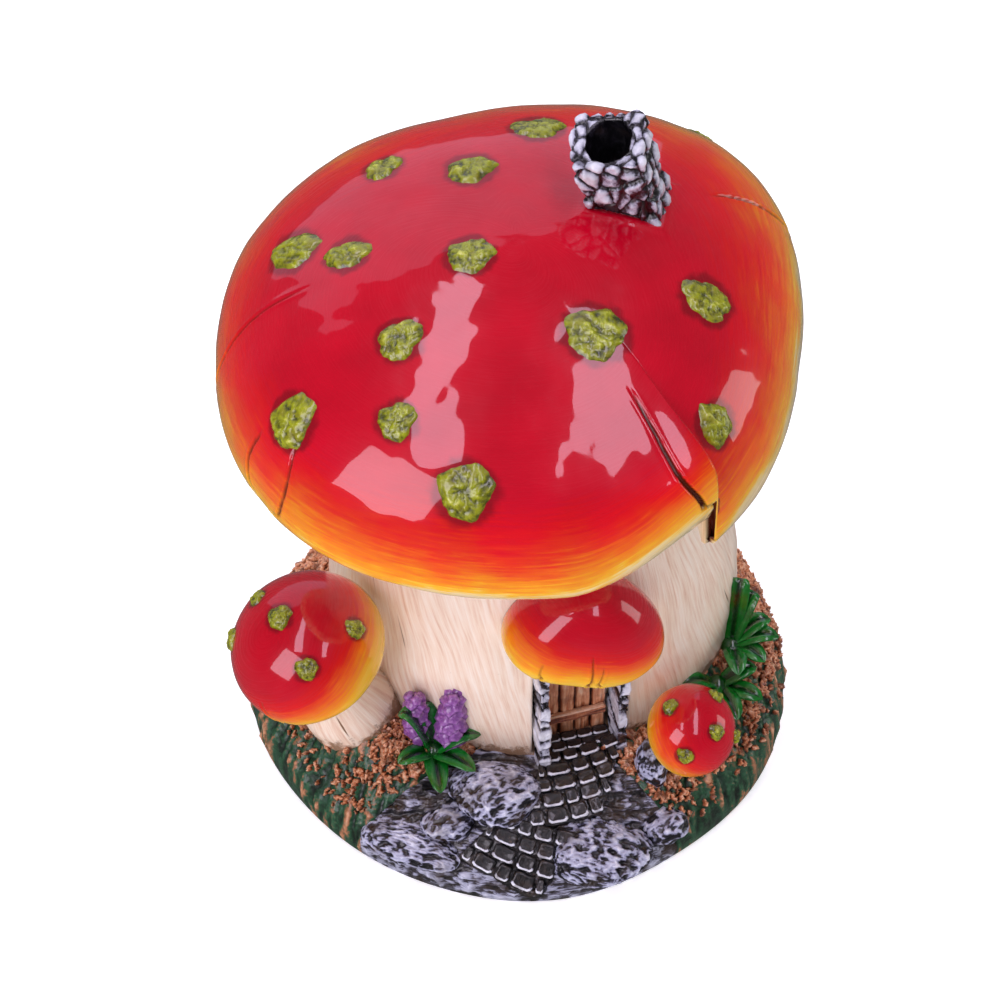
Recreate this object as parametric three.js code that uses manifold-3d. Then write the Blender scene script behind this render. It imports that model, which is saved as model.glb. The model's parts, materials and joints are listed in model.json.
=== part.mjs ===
// Mushroom fairy house: a hand-painted ornament, cast in resin and bonded from separate pieces.
// Millimetres, +Z up. The door looks towards -Y, and the origin is at the middle of the flat underside.
// A bearing is an angle in degrees round a vertical axis: 0 is the front (-Y), and 90 is the right (+X).
import * as THREE from "three";
import { mergeVertices } from "three/addons/utils/BufferGeometryUtils.js";
import Module from "manifold-3d";

const wasm = await Module();
wasm.setup();

const glueGap = 0.3; // glue line between two bonded pieces

// Ground and the plate that closes its underside
const groundWidth = 157;
const groundDepth = 148;
const groundEdge = 8; // height of the rounded outer edge in front
const groundCrown = 27; // height beside the trunk in front
const bankRise = 9; // how much higher the banks left and right are
const groundFullness = 0.8; // how far the slope bulges: 1 is a cosine, and less is fuller
const groundWaves = [
  { count: 1, size: 0.03, crest: 180 },
  { count: 2, size: 0.008, crest: 60 },
  { count: 4, size: 0.014, crest: 0 },
  { count: 7, size: 0.004, crest: 12 },
];
const mossMounds = 0.9; // height of the soft mounds on the banks
const mossMoundCount = 9;
const barkHeight = 1.3; // of the ribs of bark on the banks
// How many ribs go round the trunk, and by how many of them each drifts on its way out. They begin and
// reach their full height at these bearings left and right of the front
const barkRibs = { count: 26, drift: 1.4, from: 34, to: 62 };
// The heap of turf round the left toadstool: its middle, how far it runs round the trunk and outwards
const turfHeap = { bearing: -52, share: 0.42, overBearing: 28, overShare: 0.5, height: 8 };
// From the edge down to the table: a step's share of the outline, and its share of the edge's height
const groundSkirt = [
  [1.012, 0.6],
  [1.005, 0.25],
  [0.98, 0],
];
const plateThickness = 4;
const plateShare = 0.885; // the plate's outline as a share of the ground's

// Rock ledge: the sector of the ground that is bare rock
const ledgeX = 9; // its inner corner
const ledgeY = -26;
const ledge = { from: -61, to: 50 };

// Trunk, an oval in plan
const trunkX = 4.5;
const trunkY = 16;
const trunkFootRadius = 58;
const trunkBellyRadius = 60.5;
const trunkBellyHeight = 44;
const trunkNeckRadius = 48;
const trunkHeight = 141; // up to where it meets the gills
const trunkFlatness = 0.92; // its depth as a share of its width
const spigotRadius = 30; // the peg on the trunk, which enters the cap
const spigotLength = 12;

// Main cap
const capX = -1;
const capY = 10.3;
const capSeat = 5; // its widest line above the trunk's shoulder
const capWidest = trunkHeight + capSeat;
const capTilt = 3.1; // towards the front
const mainCap = {
  radius: 80.6,
  dome: 47.8,
  fullness: 2.23, // 2 is an ellipsoid, and more is boxier
  lipDrop: 8,
  lipTuck: 5,
  recess: 7, // depth of the gills' seat above the widest line
  outline: [
    { count: 2, size: 0.04, crest: -51.5 },
    { count: 3, size: 0.03, crest: 19 },
    { count: 4, size: 0.022, crest: 45 },
  ],
  // The rim rises towards the main split and drops after it; a lower power brings the rise further up
  lobe: { bearing: 40, spread: 30, lift: 17, power: 8 },
};
const gills = {
  count: 30,
  depth: 6,
  thickness: 3, // of the ring that carries them
  fitGap: 0.6,
  innerShare: 0.7, // the ring's hole as a share of the trunk's peg
  endRun: 12, // over this length a gill rises to its full depth from the rim
  endShare: 0.4, // its depth at the rim as a share of its full depth
};

// Splits that run from the rim up into the cap's skin, and how they narrow on their way up
const splitFoot = 150; // polar angle where they start, under the lip
const splitProud = 1; // how far their cutters stand out of the skin
const splitNarrowing = 0.8;
const splitShallowing = 0.7;
const splitSteps = 6;
const capSplits = [
  { from: 42, to: 32, top: 43, width: 6, depth: 4.4 },
  { from: -50, to: -49, top: 66, width: 2.4, depth: 1.8 },
  { from: -60, to: -57, top: 72, width: 3, depth: 2.2 },
  { from: -86, to: -80, top: 45, width: 2, depth: 1.4 },
  { from: -161, to: -158, top: 74, width: 4, depth: 2.6 },
  { from: 117, to: 115, top: 46, width: 3, depth: 2.4 },
];

// Moss patches on the main cap: where each one is, and its size along the rim and up the dome
const mossThickness = 1.6;
// A patch's rings from its underside to its top: the share of its size, and the share of its thickness
const mossRings = [
  [0.5, 0],
  [1, 0.1],
  [0.6, 1],
];
const mossLumps = [
  { count: 3, size: 0.1, crest: 0 },
  { count: 5, size: 0.06, crest: 20 },
];
const capMoss = [
  { bearing: -96, polar: 45, width: 12, length: 16 },
  { bearing: -89, polar: 31, width: 9, length: 14 },
  { bearing: -131, polar: 34, width: 12, length: 9 },
  { bearing: -155, polar: 19, width: 15, length: 11 },
  { bearing: 173, polar: 33, width: 16, length: 12 },
  { bearing: -63, polar: 8, width: 12, length: 13 },
  { bearing: -45, polar: 29, width: 11, length: 13 },
  { bearing: -53, polar: 60, width: 13, length: 16 },
  { bearing: -31, polar: 45, width: 10, length: 11 },
  { bearing: -11, polar: 58, width: 15, length: 16 },
  { bearing: 34, polar: 24, width: 17, length: 16 },
  { bearing: 75, polar: 39, width: 13, length: 16 },
  { bearing: 48, polar: 58, width: 11, length: 13 },
  { bearing: 143, polar: 77, width: 13, length: 12 },
  { bearing: 171, polar: 79, width: 12, length: 12 },
  { bearing: -160, polar: 76, width: 14, length: 12 },
  { bearing: -134, polar: 78, width: 11, length: 12 },
];

// Chimney
const chimney = {
  bearing: 119,
  polar: 21.5,
  height: 22,
  root: 9, // how far it reaches down to the cap's skin
  footWidth: 20.5,
  topWidth: 21,
  depthShare: 0.86,
  courses: 4,
  jointInset: 0.9, // how far the joints between two courses lie back
  jointHeight: 1.3, // from a joint to where its stone has its full width
  cornerShare: 0.72, // where a side's flat ends, as a share of its half width
  bulge: 1.03, // the middle of a side against its ends
  crenel: 1.4, // how much every other top stone stands up
  backRise: 3, // how much higher its back wall is than its front wall
  flueRadius: 5.6,
  flueTaper: 0.9,
  flueDepth: 13,
  turn: -9,
  lean: -15,
};

// Doorway
const doorBearing = 14;
const doorWidth = 19;
const doorHeight = 49;
const doorThickness = 3;
const doorRecess = 6.5; // from the trunk's surface back to the door's face
const doorPlanks = 4;
const plankGroove = 0.8;
const battenHeight = 3.2;
const battenThickness = 1.4;
const battenAt = 10; // its middle above the sill
const battenInset = 0.8; // from the door's edge to its end
const jambWidth = 3.6;
const jambProud = 3.6; // how far the jambs stand out of the trunk
const jambCourses = 8;
const jambJoint = 0.4; // depth of the joint between two of its stones
const jambBevel = 0.7; // height of the slope from a joint to a stone's face
const sillRise = 0.6; // the sill above the ground beside it
const doorStepThickness = 1.6; // of the paved step on the sill

// Porch
const porchBearing = 13.5;
const porchHeight = 82; // height of its widest line
const porchLean = 8;
const porchLeanTo = 75; // to the right and a little forwards
const porchOut = 2.9; // how far its middle stands out of the trunk's surface
const porchCap = {
  radius: 19.3,
  dome: 23.5,
  fullness: 1.85,
  lipDrop: 4,
  lipTuck: 2.4,
  recess: 2,
  outline: [
    { count: 2, size: 0.19, crest: 80 }, // wider than deep
    { count: 5, size: 0.014, crest: 8 },
  ],
};
const porchSplits = [
  { from: -5, to: -6, top: 66, width: 2.2, depth: 1.4 },
  { from: 5, to: 4, top: 76, width: 1.6, depth: 1.2 },
  { from: -54, to: -51, top: 78, width: 1.8, depth: 1.2 },
];

// Two toadstools. A foot stands on the ground at a gap from the trunk, and a lean is towards a bearing
const toadstools = [
  {
    name: "left_toadstool",
    foot: { bearing: -56, gap: 10.3 },
    lean: 19,
    leanTo: -66,
    stemHeight: 31,
    stemFoot: 12.5,
    stemNeck: 9,
    capTilt: 8.6,
    capTiltTo: -28,
    cap: {
      radius: 22.3,
      dome: 21,
      fullness: 2.1,
      lipDrop: 4.5,
      lipTuck: 2.6,
      recess: 1,
      outline: [{ count: 2, size: 0.02, crest: -60 }],
    },
    splits: [{ from: -29, to: -33, top: 68, width: 2, depth: 1.3 }],
    moss: [
      { bearing: 179, polar: 5, width: 8, length: 8 },
      { bearing: 23, polar: 40, width: 7, length: 7 },
      { bearing: 84, polar: 58, width: 6, length: 7 },
      { bearing: -143, polar: 38, width: 6, length: 6 },
      { bearing: -98, polar: 58, width: 7, length: 7 },
    ],
  },
  {
    name: "right_toadstool",
    foot: { bearing: 44, gap: 11.3 },
    lean: 16,
    leanTo: 40,
    stemHeight: 12,
    stemFoot: 6.5,
    stemNeck: 5,
    capTilt: 22,
    capTiltTo: 30,
    cap: {
      radius: 13.3,
      dome: 13,
      fullness: 2.1,
      lipDrop: 3,
      lipTuck: 1.6,
      recess: 0.8,
      outline: [{ count: 2, size: 0.02, crest: 20 }],
    },
    splits: [],
    moss: [
      { bearing: -117, polar: 57, width: 5.4, length: 5 },
      { bearing: 160, polar: 52, width: 5, length: 4.6 },
      { bearing: 76, polar: 12, width: 5, length: 5.4 },
      { bearing: 88, polar: 62, width: 4.6, length: 6 },
      { bearing: -29, polar: 46, width: 5.6, length: 5 },
    ],
  },
];

// A stem's side from its foot up: how far it has gone from foot to neck, and its share of the height
const stemSide = [
  [-0.4, -0.3],
  [0, 0.15],
  [0.8, 0.55],
];

// Paving: rows of bricks laid across a path. A row's half span is in degrees round the trunk
const paving = { thickness: 2.6, bed: 1.2, joint: 0.9, overlap: 0.3, bricks: 4, brickGroove: 0.5 };
const pavedPaths = [
  {
    name: "door_steps",
    rows: 5,
    start: { bearing: 14.5, share: 0.05, halfSpan: 12.5 },
    end: { bearing: 10.5, share: 0.55, halfSpan: 10 },
    slant: -0.02,
  },
  {
    name: "garden_path",
    rows: 4,
    start: { bearing: 3, share: 0.66, halfSpan: 10 },
    end: { bearing: -4, share: 0.93, halfSpan: 10 },
    slant: 0.09,
  },
];

// Rocks on the ledge: a place on the ground, half sizes, a turn, and how far the middle is above the ground
const rocks = [
  { name: "boulder_left", bearing: -9, share: 0.38, size: [13, 10, 6.5], turn: -8, rise: 0.9 },
  { name: "boulder_front_right", bearing: 19, share: 0.86, size: [13.5, 11, 7.5], turn: 12, rise: 0.2 },
  { name: "stone_pillar", bearing: 34.5, share: 0.42, size: [4.6, 6, 9], turn: 10, rise: 1.7 },
  { name: "rock_front_left", bearing: -27, share: 0.9, size: [15, 7, 5], turn: -24, rise: 0 },
  { name: "rock_middle_left", bearing: -19, share: 0.68, size: [8.5, 5.5, 4.4], turn: 6, rise: 0.3 },
  { name: "rock_right_small", bearing: 36, share: 0.9, size: [6.5, 6, 4.6], turn: 0, rise: 0.4 },
];
const bigRock = 9; // a rock whose half width is more than this has finer faces
// How far a rock's broad and fine faces stand out, as a share of its size, and how many turns they take
const rockFaces = { broad: 0.09, broadTurns: [3.1, 2.7], fine: 0.04, fineTurns: [5.3, 2] };

// Plants. A leaf grows from a hub; its rise and its droop are shares of its length
const leafThickness = 1.1;
const leafSteps = 4;
const leafArch = 115; // how far a leaf's rise follows a sine, in degrees: past 90 its tip droops
const leafBelly = [0.12, 0.83]; // where its width starts on a half sine, and how far it runs along it
const leafWaist = 0.3; // its least width as a share of its full width
const leafTip = 0.25; // the share of its width that its tip keeps
const leafKeel = 0.6; // how much of the leaf's thickness its middle rib keeps
const hubSink = 0.4; // how far up its hub's radius a rosette stands
const hyacinth = {
  foot: { bearing: -29, gap: 5.1 },
  hub: 3.4,
  width: 5.6,
  leaves: [
    { bearing: -150, length: 17, rise: 0.9 },
    { bearing: -98, length: 20, rise: 0.86 },
    { bearing: -55, length: 13, rise: 0.3 },
    { bearing: 8, length: 17, rise: 0.15 },
    { bearing: 49, length: 17, rise: 0.3 },
    { bearing: 92, length: 16, rise: 0.5 },
  ],
};
const spikes = [
  { name: "hyacinth_spike_left", side: -3.9, back: 4.4, height: 22, radius: 4.2, lean: -4, tiers: 5 },
  { name: "hyacinth_spike_right", side: 4.6, back: 2.6, height: 26, radius: 4.6, lean: 4, tiers: 6 },
];
// A spike's tiers: where a tier is widest and narrowest, in pitches, and their widths as shares of its radius
const floretTiers = {
  stem: 0.5,
  stemTop: 0.7,
  wide: 1.15,
  narrow: 1.62,
  pinch: 0.68,
  taper: 0.5,
  petals: 8,
  puff: 0.82,
};
const rosettes = [
  {
    name: "leaf_rosette_lower",
    foot: { bearing: 61, gap: 5.8 },
    hub: 3.6,
    width: 6,
    leaves: [
      { bearing: -62, length: 15, rise: 0.5 },
      { bearing: -22, length: 16, rise: 0.35 },
      { bearing: 18, length: 17, rise: 0.25 },
      { bearing: 60, length: 15, rise: 0.2 },
      { bearing: 105, length: 13, rise: 0.4 },
    ],
  },
  {
    name: "leaf_rosette_upper",
    foot: { bearing: 72, gap: 3.1 },
    hub: 3.8,
    width: 6,
    leaves: [
      { bearing: 166, length: 24, rise: 0.92 },
      { bearing: 138, length: 20, rise: 0.85 },
      { bearing: 108, length: 15, rise: 0.6 },
      { bearing: 80, length: 16, rise: 0.5 },
      { bearing: 42, length: 15, rise: 0.4 },
      { bearing: 4, length: 17, rise: 0.4 },
    ],
  },
];

// Facets
const capSegments = 54;
const trunkSegments = 42;
const trunkLevels = 9;
const groundSegments = 78;
const groundShares = [-0.15, 0, 0.2, 0.4, 0.58, 0.76, 0.91, 1];
const plateSegments = 42;
const smallCapSegments = 20;
const stemSegments = 16;
const flueSegments = 10;
const hubSegments = 7;
const hubRings = 4;
const rockDetail = { big: 2, small: 1 };
const capMossSegments = 8;
const smallMossSegments = 7;
const capPolars = [0, 10, 20, 31, 42, 53, 63, 72, 81, 90, 118, 149, 180];
const smallCapPolars = [0, 20, 38, 56, 74, 90, 135, 180];

const deg = Math.PI / 180;
const paint = (color, roughness) => new THREE.MeshStandardMaterial({ color, roughness, metalness: 0 });
const finish = {
  moss: paint(0x2c5a33, 0.75),
  rock: paint(0x6f6f7a, 0.6),
  brick: paint(0x3a3a40, 0.5),
  plate: paint(0x2a2a28, 0.8),
  trunk: paint(0xecd9c4, 0.4),
  door: paint(0x7a4a2a, 0.5),
  cap: paint(0xc4122f, 0.12),
  gills: paint(0xe8cfa8, 0.5),
  chimney: paint(0x8b8a94, 0.55),
  spot: paint(0x9aa52a, 0.4),
  leaf: paint(0x0f7a3c, 0.25),
  flower: paint(0x6a3fa0, 0.4),
};

// Helpers for points and directions

// A unit vector in the ground plane towards a bearing.
function toward(bearing) {
  return new THREE.Vector3(Math.sin(bearing * deg), -Math.cos(bearing * deg), 0);
}

// The bearing of a point round the vertical axis.
function bearingOf(point) {
  return Math.atan2(point.x, -point.y) / deg;
}

// The sum of a few waves round a bearing, each with its count, its size and the bearing of its crest.
function waves(list, bearing) {
  return list.reduce((sum, wave) => sum + wave.size * Math.cos(wave.count * (bearing - wave.crest) * deg), 0);
}

const smooth = (share) => THREE.MathUtils.smoothstep(share, 0, 1);
const mix = THREE.MathUtils.lerp;

// The turn that takes +Z to lean by an angle towards a bearing.
function leanTowards(bearing, angle) {
  const axis = new THREE.Vector3(0, 0, 1).cross(toward(bearing)).normalize();
  return new THREE.Quaternion().setFromAxisAngle(axis, angle * deg);
}

// The turn round the vertical axis that takes -Y to a bearing.
function turnTo(bearing) {
  return new THREE.Quaternion().setFromAxisAngle(new THREE.Vector3(0, 0, 1), bearing * deg);
}

// Helpers for solids

const mergeDistance = 1e-4;

// A closed geometry as a solid that can be joined and cut. One whose faces point inwards is turned round.
function solid(geometry) {
  const bare = new THREE.BufferGeometry();
  bare.setAttribute("position", geometry.getAttribute("position").clone());
  bare.setIndex(geometry.index);
  const merged = mergeVertices(bare, mergeDistance);
  const vertProperties = merged.attributes.position.array;
  const triVerts = new Uint32Array(merged.index.array);
  const build = () => new wasm.Manifold(new wasm.Mesh({ numProp: 3, vertProperties, triVerts }));
  const made = build();
  if (made.volume() > 0) return made;
  triVerts.reverse();
  return build();
}

// A solid's triangles as a geometry with flat shading.
function geometryOf(body) {
  const mesh = body.getMesh();
  const geometry = new THREE.BufferGeometry();
  geometry.setAttribute("position", new THREE.BufferAttribute(new Float32Array(mesh.vertProperties), 3));
  geometry.setIndex(new THREE.BufferAttribute(new Uint32Array(mesh.triVerts), 1));
  const flat = geometry.toNonIndexed();
  flat.computeVertexNormals();
  return flat;
}

// The largest piece of a solid, because a cut may leave crumbs.
function largest(body) {
  return body.decompose().reduce((best, piece) => (piece.volume() > best.volume() ? piece : best));
}

const united = (bodies) => bodies.reduce((sum, body) => sum.add(body));
const without = (body, cutters) => cutters.reduce((rest, cutter) => rest.subtract(cutter), body);

// A profile of [radius, height] points turned round the vertical axis. A vertex's angle is its bearing.
function turned(profile, segments) {
  const points = profile.map(([radius, height]) => new THREE.Vector2(radius, height));
  return new THREE.LatheGeometry(points, segments).rotateX(Math.PI / 2);
}

// Moves every vertex of a geometry with a function that changes the point it is given.
function warped(geometry, move) {
  const position = geometry.getAttribute("position");
  const point = new THREE.Vector3();
  for (let i = 0; i < position.count; i++) {
    point.fromBufferAttribute(position, i);
    move(point);
    position.setXYZ(i, point.x, point.y, point.z);
  }
  return geometry;
}

// A closed skin through rings of points that all have the same count, with a fan over each end.
function lofted(rings) {
  const count = rings[0].length;
  const total = (ring) => ring.reduce((sum, point) => sum.add(point), new THREE.Vector3());
  const middle = (ring) => total(ring).divideScalar(count);
  const points = [...rings.flat(), middle(rings[0]), middle(rings.at(-1))];
  const first = points.length - 2;
  const last = points.length - 1;
  const topRow = (rings.length - 1) * count;
  const corners = [];
  for (let i = 0; i < count; i++) {
    const next = (i + 1) % count;
    corners.push(first, next, i, last, topRow + i, topRow + next);
    for (let row = 0; row < topRow; row += count) {
      corners.push(row + i, row + next, row + count + next, row + i, row + count + next, row + count + i);
    }
  }
  const geometry = new THREE.BufferGeometry().setFromPoints(points);
  geometry.setIndex(corners);
  return geometry;
}

// A box between two corners.
function block(low, high) {
  const size = high.map((value, i) => value - low[i]);
  const middle = high.map((value, i) => (value + low[i]) / 2);
  return new THREE.BoxGeometry(...size).translate(...middle);
}

// An outline in plan, raised from one height to another.
function raised(outline, from, to) {
  const shape = new THREE.Shape(outline.map(([x, y]) => new THREE.Vector2(x, y)));
  return new THREE.ExtrudeGeometry(shape, { depth: to - from, bevelEnabled: false }).translate(0, 0, from);
}

// The house, and the grown copies of its pieces that their neighbours are cut by
const house = new THREE.Group();
const grown = new Map();

function group(parent, position, quaternion = new THREE.Quaternion()) {
  const made = new THREE.Group();
  made.position.copy(position);
  made.quaternion.copy(quaternion);
  parent.add(made);
  return made;
}

// Adds a piece. Its form is a function of how much it is grown, and the neighbours are cut out of it.
function seat(parent, name, material, form, neighbours = []) {
  const mesh = new THREE.Mesh(new THREE.BufferGeometry(), material);
  mesh.name = name;
  parent.add(mesh);
  mesh.updateWorldMatrix(true, false);
  const inward = mesh.matrixWorld.clone().invert().elements;
  const cutters = neighbours.map((neighbour) => grown.get(neighbour).transform(inward));
  mesh.geometry = geometryOf(largest(without(form(0), cutters)));
  grown.set(name, form(glueGap).transform(mesh.matrixWorld.elements));
  return mesh;
}

// Trunk

const trunkFoot = plateThickness + glueGap;

function trunkRadius(height) {
  const above = (height - trunkBellyHeight) / (trunkHeight - trunkBellyHeight);
  return above > 0
    ? mix(trunkBellyRadius, trunkNeckRadius, smooth(above))
    : mix(trunkBellyRadius, trunkFootRadius, smooth(1 - height / trunkBellyHeight));
}

// How far the trunk's surface is from its axis.
function trunkReach(bearing, height) {
  const way = toward(bearing);
  return trunkRadius(height) / Math.hypot(way.x, way.y / trunkFlatness);
}

function trunkForm(grow) {
  const side = Array.from({ length: trunkLevels + 1 }, (unused, i) => {
    const height = mix(trunkFoot - grow, trunkHeight + grow, i / trunkLevels);
    return [trunkRadius(height) + grow, height];
  });
  const profile = [
    [0, trunkFoot - grow],
    ...side,
    [spigotRadius + grow, trunkHeight + grow],
    [spigotRadius + grow, trunkHeight + spigotLength + grow],
    [0, trunkHeight + spigotLength + grow],
  ];
  return solid(turned(profile, trunkSegments).scale(1, trunkFlatness, 1));
}

// Ground

function groundReach(bearing) {
  const way = toward(bearing);
  const oval = 1 / Math.hypot(way.x / (groundWidth / 2), way.y / (groundDepth / 2));
  return oval * (1 + waves(groundWaves, bearing));
}

// A point over the ground: share 0 is at the trunk, and share 1 is at the outer edge.
function groundPoint(bearing, share, lift = 0) {
  const atTrunk = toward(bearing)
    .multiplyScalar(trunkReach(bearing, groundCrown))
    .add(new THREE.Vector3(trunkX, trunkY, 0));
  const atEdge = toward(bearing).multiplyScalar(groundReach(bearing));
  const point = atTrunk.lerp(atEdge, share);
  point.z = groundHeight(bearing, share) + lift;
  return point;
}

// How much of the bark's height there is at a bearing: none in front, and all of it at the sides and behind.
function barkShare(bearing) {
  const fromFront = Math.abs(THREE.MathUtils.euclideanModulo(bearing + 180, 360) - 180);
  return THREE.MathUtils.smoothstep(fromFront, barkRibs.from, barkRibs.to);
}

function heapLift(bearing, share) {
  const aside = THREE.MathUtils.euclideanModulo(bearing - turfHeap.bearing + 180, 360) - 180;
  const away = Math.hypot(aside / turfHeap.overBearing, (share - turfHeap.share) / turfHeap.overShare);
  return turfHeap.height * smooth(1 - away);
}

function groundHeight(bearing, share) {
  const side = Math.sin(bearing * deg) ** 2;
  const edge = groundEdge + bankRise * side;
  const crown = groundCrown + bankRise * side;
  const slope = Math.cos((THREE.MathUtils.clamp(share, 0, 1) * Math.PI) / 2) ** groundFullness;
  const mounds = mossMounds * side * Math.cos(mossMoundCount * bearing * deg);
  const phase = (barkRibs.count * bearing + 360 * barkRibs.drift * share) * deg;
  const ribs = barkHeight * barkShare(bearing) * Math.cos(phase);
  return mix(edge, crown, slope) + (mounds + ribs) * Math.sin(share * Math.PI) + heapLift(bearing, share);
}

// A point over the ground at a gap from the trunk's belly.
function besideTrunk({ bearing, gap }, lift = 0) {
  const run = groundPoint(bearing, 0).setZ(0).distanceTo(groundPoint(bearing, 1).setZ(0));
  const belly = trunkReach(bearing, trunkBellyHeight) - trunkReach(bearing, groundCrown);
  return groundPoint(bearing, (belly + gap) / run, lift);
}

// A point under the ground's edge, at a share of its outline.
function skirtPoint(bearing, reachShare, height) {
  return toward(bearing).multiplyScalar(groundReach(bearing) * reachShare).setZ(height);
}

function groundForm(grow) {
  const plateSeat = plateShare + (2 * glueGap) / groundWidth;
  const rows = [
    ...groundShares.map((share) => (bearing) => groundPoint(bearing, share, grow)),
    ...groundSkirt.map(([reachShare, heightShare]) => (bearing) =>
      skirtPoint(bearing, reachShare, groundHeight(bearing, 1) * heightShare),
    ),
    (bearing) => skirtPoint(bearing, plateSeat, 0),
    (bearing) => skirtPoint(bearing, plateSeat, plateThickness + glueGap),
  ];
  const bearings = Array.from({ length: groundSegments }, (unused, i) => (360 * i) / groundSegments);
  return solid(lofted(rows.map((row) => bearings.map(row))));
}

// The upright wedge, wider than the ground and taller than it, that parts the rock ledge from the banks.
function ledgeWedge(grow) {
  const half = ((ledge.to - ledge.from) / 2) * deg;
  const middle = (ledge.from + ledge.to) / 2;
  const apex = new THREE.Vector3(ledgeX, ledgeY, 0).addScaledVector(toward(middle), -grow / Math.sin(half));
  const out = (bearing) => toward(bearing).multiplyScalar(groundWidth).add(apex);
  const far = [ledge.from, middle, ledge.to].map(out);
  const outline = [apex, ...far].map((point) => [point.x, point.y]);
  return solid(raised(outline, -groundEdge, 2 * (groundCrown + bankRise)));
}

function plateForm(grow) {
  const profile = [
    [0, 0],
    [1, 0],
    [1, plateThickness + grow],
    [0, plateThickness + grow],
  ];
  return solid(
    warped(turned(profile, plateSegments), (point) => {
      const share = plateShare * Math.hypot(point.x, point.y);
      point.copy(skirtPoint(bearingOf(point), share, point.z));
    }),
  );
}

// Caps: a dome over a widest line at height 0, a lip that rolls under, and a seat for the gills inside it

// The lift beside the cap's main split, at a share of the radius.
function lobeLift(cap, bearing, share) {
  if (!cap.lobe) return 0;
  const along = 1 - (cap.lobe.bearing - bearing) / cap.lobe.spread;
  return along > 0 && along <= 1 ? cap.lobe.lift * smooth(along) * share ** cap.lobe.power : 0;
}

// Moves a point of a round cap to the cap's real outline.
function shapeCap(cap, point) {
  const bearing = bearingOf(point);
  const radius = Math.hypot(point.x, point.y);
  const share = radius / cap.radius;
  const way = toward(bearing).multiplyScalar(radius * (1 + waves(cap.outline, bearing) * share));
  return point.set(way.x, way.y, point.z + lobeLift(cap, bearing, share));
}

// A cap's radius and height at a polar angle: 0 is the top, 90 the widest line and 180 inside the lip.
function capProfile(cap, polar, grow = 0) {
  if (polar <= 90) {
    const power = 2 / cap.fullness;
    return [
      (cap.radius + grow) * Math.sin(polar * deg) ** power,
      (cap.dome + grow) * Math.max(0, Math.cos(polar * deg)) ** power,
    ];
  }
  const roll = (polar - 90) * deg;
  return [
    cap.radius + grow - (cap.lipTuck + grow) * (1 - Math.cos(roll)),
    -(cap.lipDrop + grow) * Math.sin(roll),
  ];
}

// A point on a cap's skin, or above it by the growth.
function capPoint(cap, bearing, polar, grow = 0) {
  const [radius, height] = capProfile(cap, polar, grow);
  const point = toward(bearing).multiplyScalar(radius);
  point.z = height;
  return shapeCap(cap, point);
}

// A groove from the rim up the cap's skin, wide at the rim and closing at its top.
function splitForm(cap, split) {
  const rings = Array.from({ length: splitSteps + 1 }, (unused, i) => {
    const along = i / splitSteps;
    const polar = mix(splitFoot, split.top, along);
    const bearing = mix(split.from, split.to, along);
    const [radius] = capProfile(cap, polar);
    const half = ((split.width / 2) * (1 - splitNarrowing * along)) / (radius * deg);
    return [
      capPoint(cap, bearing - half, polar, splitProud),
      capPoint(cap, bearing + half, polar, splitProud),
      capPoint(cap, bearing, polar, -split.depth * (1 - splitShallowing * along)),
    ];
  });
  return solid(lofted(rings));
}

function capForm(cap, segments, polars, splits = []) {
  return (grow) => {
    const mouth = cap.radius - 2 * cap.lipTuck - grow;
    const skin = polars.map((polar) => capProfile(cap, polar, grow));
    const profile = [...skin, [mouth, cap.recess - grow], [0, cap.recess - grow]];
    const body = solid(warped(turned(profile, segments), (point) => shapeCap(cap, point)));
    return grow > 0 ? body : without(body, splits.map((split) => splitForm(cap, split)));
  };
}

// A lumpy patch that lies on a cap's skin, laid out flat with the polar angle as its distance from the top.
function patchForm(cap, patch, segments) {
  const [radius, height] = capProfile(cap, patch.polar);
  const [nextRadius, nextHeight] = capProfile(cap, patch.polar + 1);
  const upPerDegree = Math.hypot(nextRadius - radius, nextHeight - height);
  const middle = toward(patch.bearing).multiplyScalar(patch.polar);
  const out = toward(patch.bearing);
  const along = toward(patch.bearing + 90);
  const ring = ([share, liftShare]) =>
    Array.from({ length: segments }, (unused, i) => {
      const angle = (360 * i) / segments;
      const lump = 1 + waves(mossLumps, angle + patch.bearing);
      const step = toward(angle).multiplyScalar(share * lump);
      const flat = middle
        .clone()
        .addScaledVector(out, (-step.y * patch.length) / 2 / upPerDegree)
        .addScaledVector(along, (step.x * (patch.width / 2) * patch.polar) / radius);
      return capPoint(cap, bearingOf(flat), flat.length(), glueGap + liftShare * mossThickness);
    });
  return () => solid(lofted(mossRings.map(ring)));
}

// A stem that swells to its foot and ends in its cap's seat. Its root is cut by the ground.
function stemForm(toadstool) {
  const { stemFoot, stemNeck, stemHeight, cap } = toadstool;
  const top = stemHeight + cap.recess;
  const side = stemSide.map(([narrowing, rise]) => [mix(stemFoot, stemNeck, narrowing), stemHeight * rise]);
  const profile = [[0, side[0][1]], ...side, [stemNeck, top], [0, top]];
  return () => solid(turned(profile, stemSegments));
}

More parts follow.
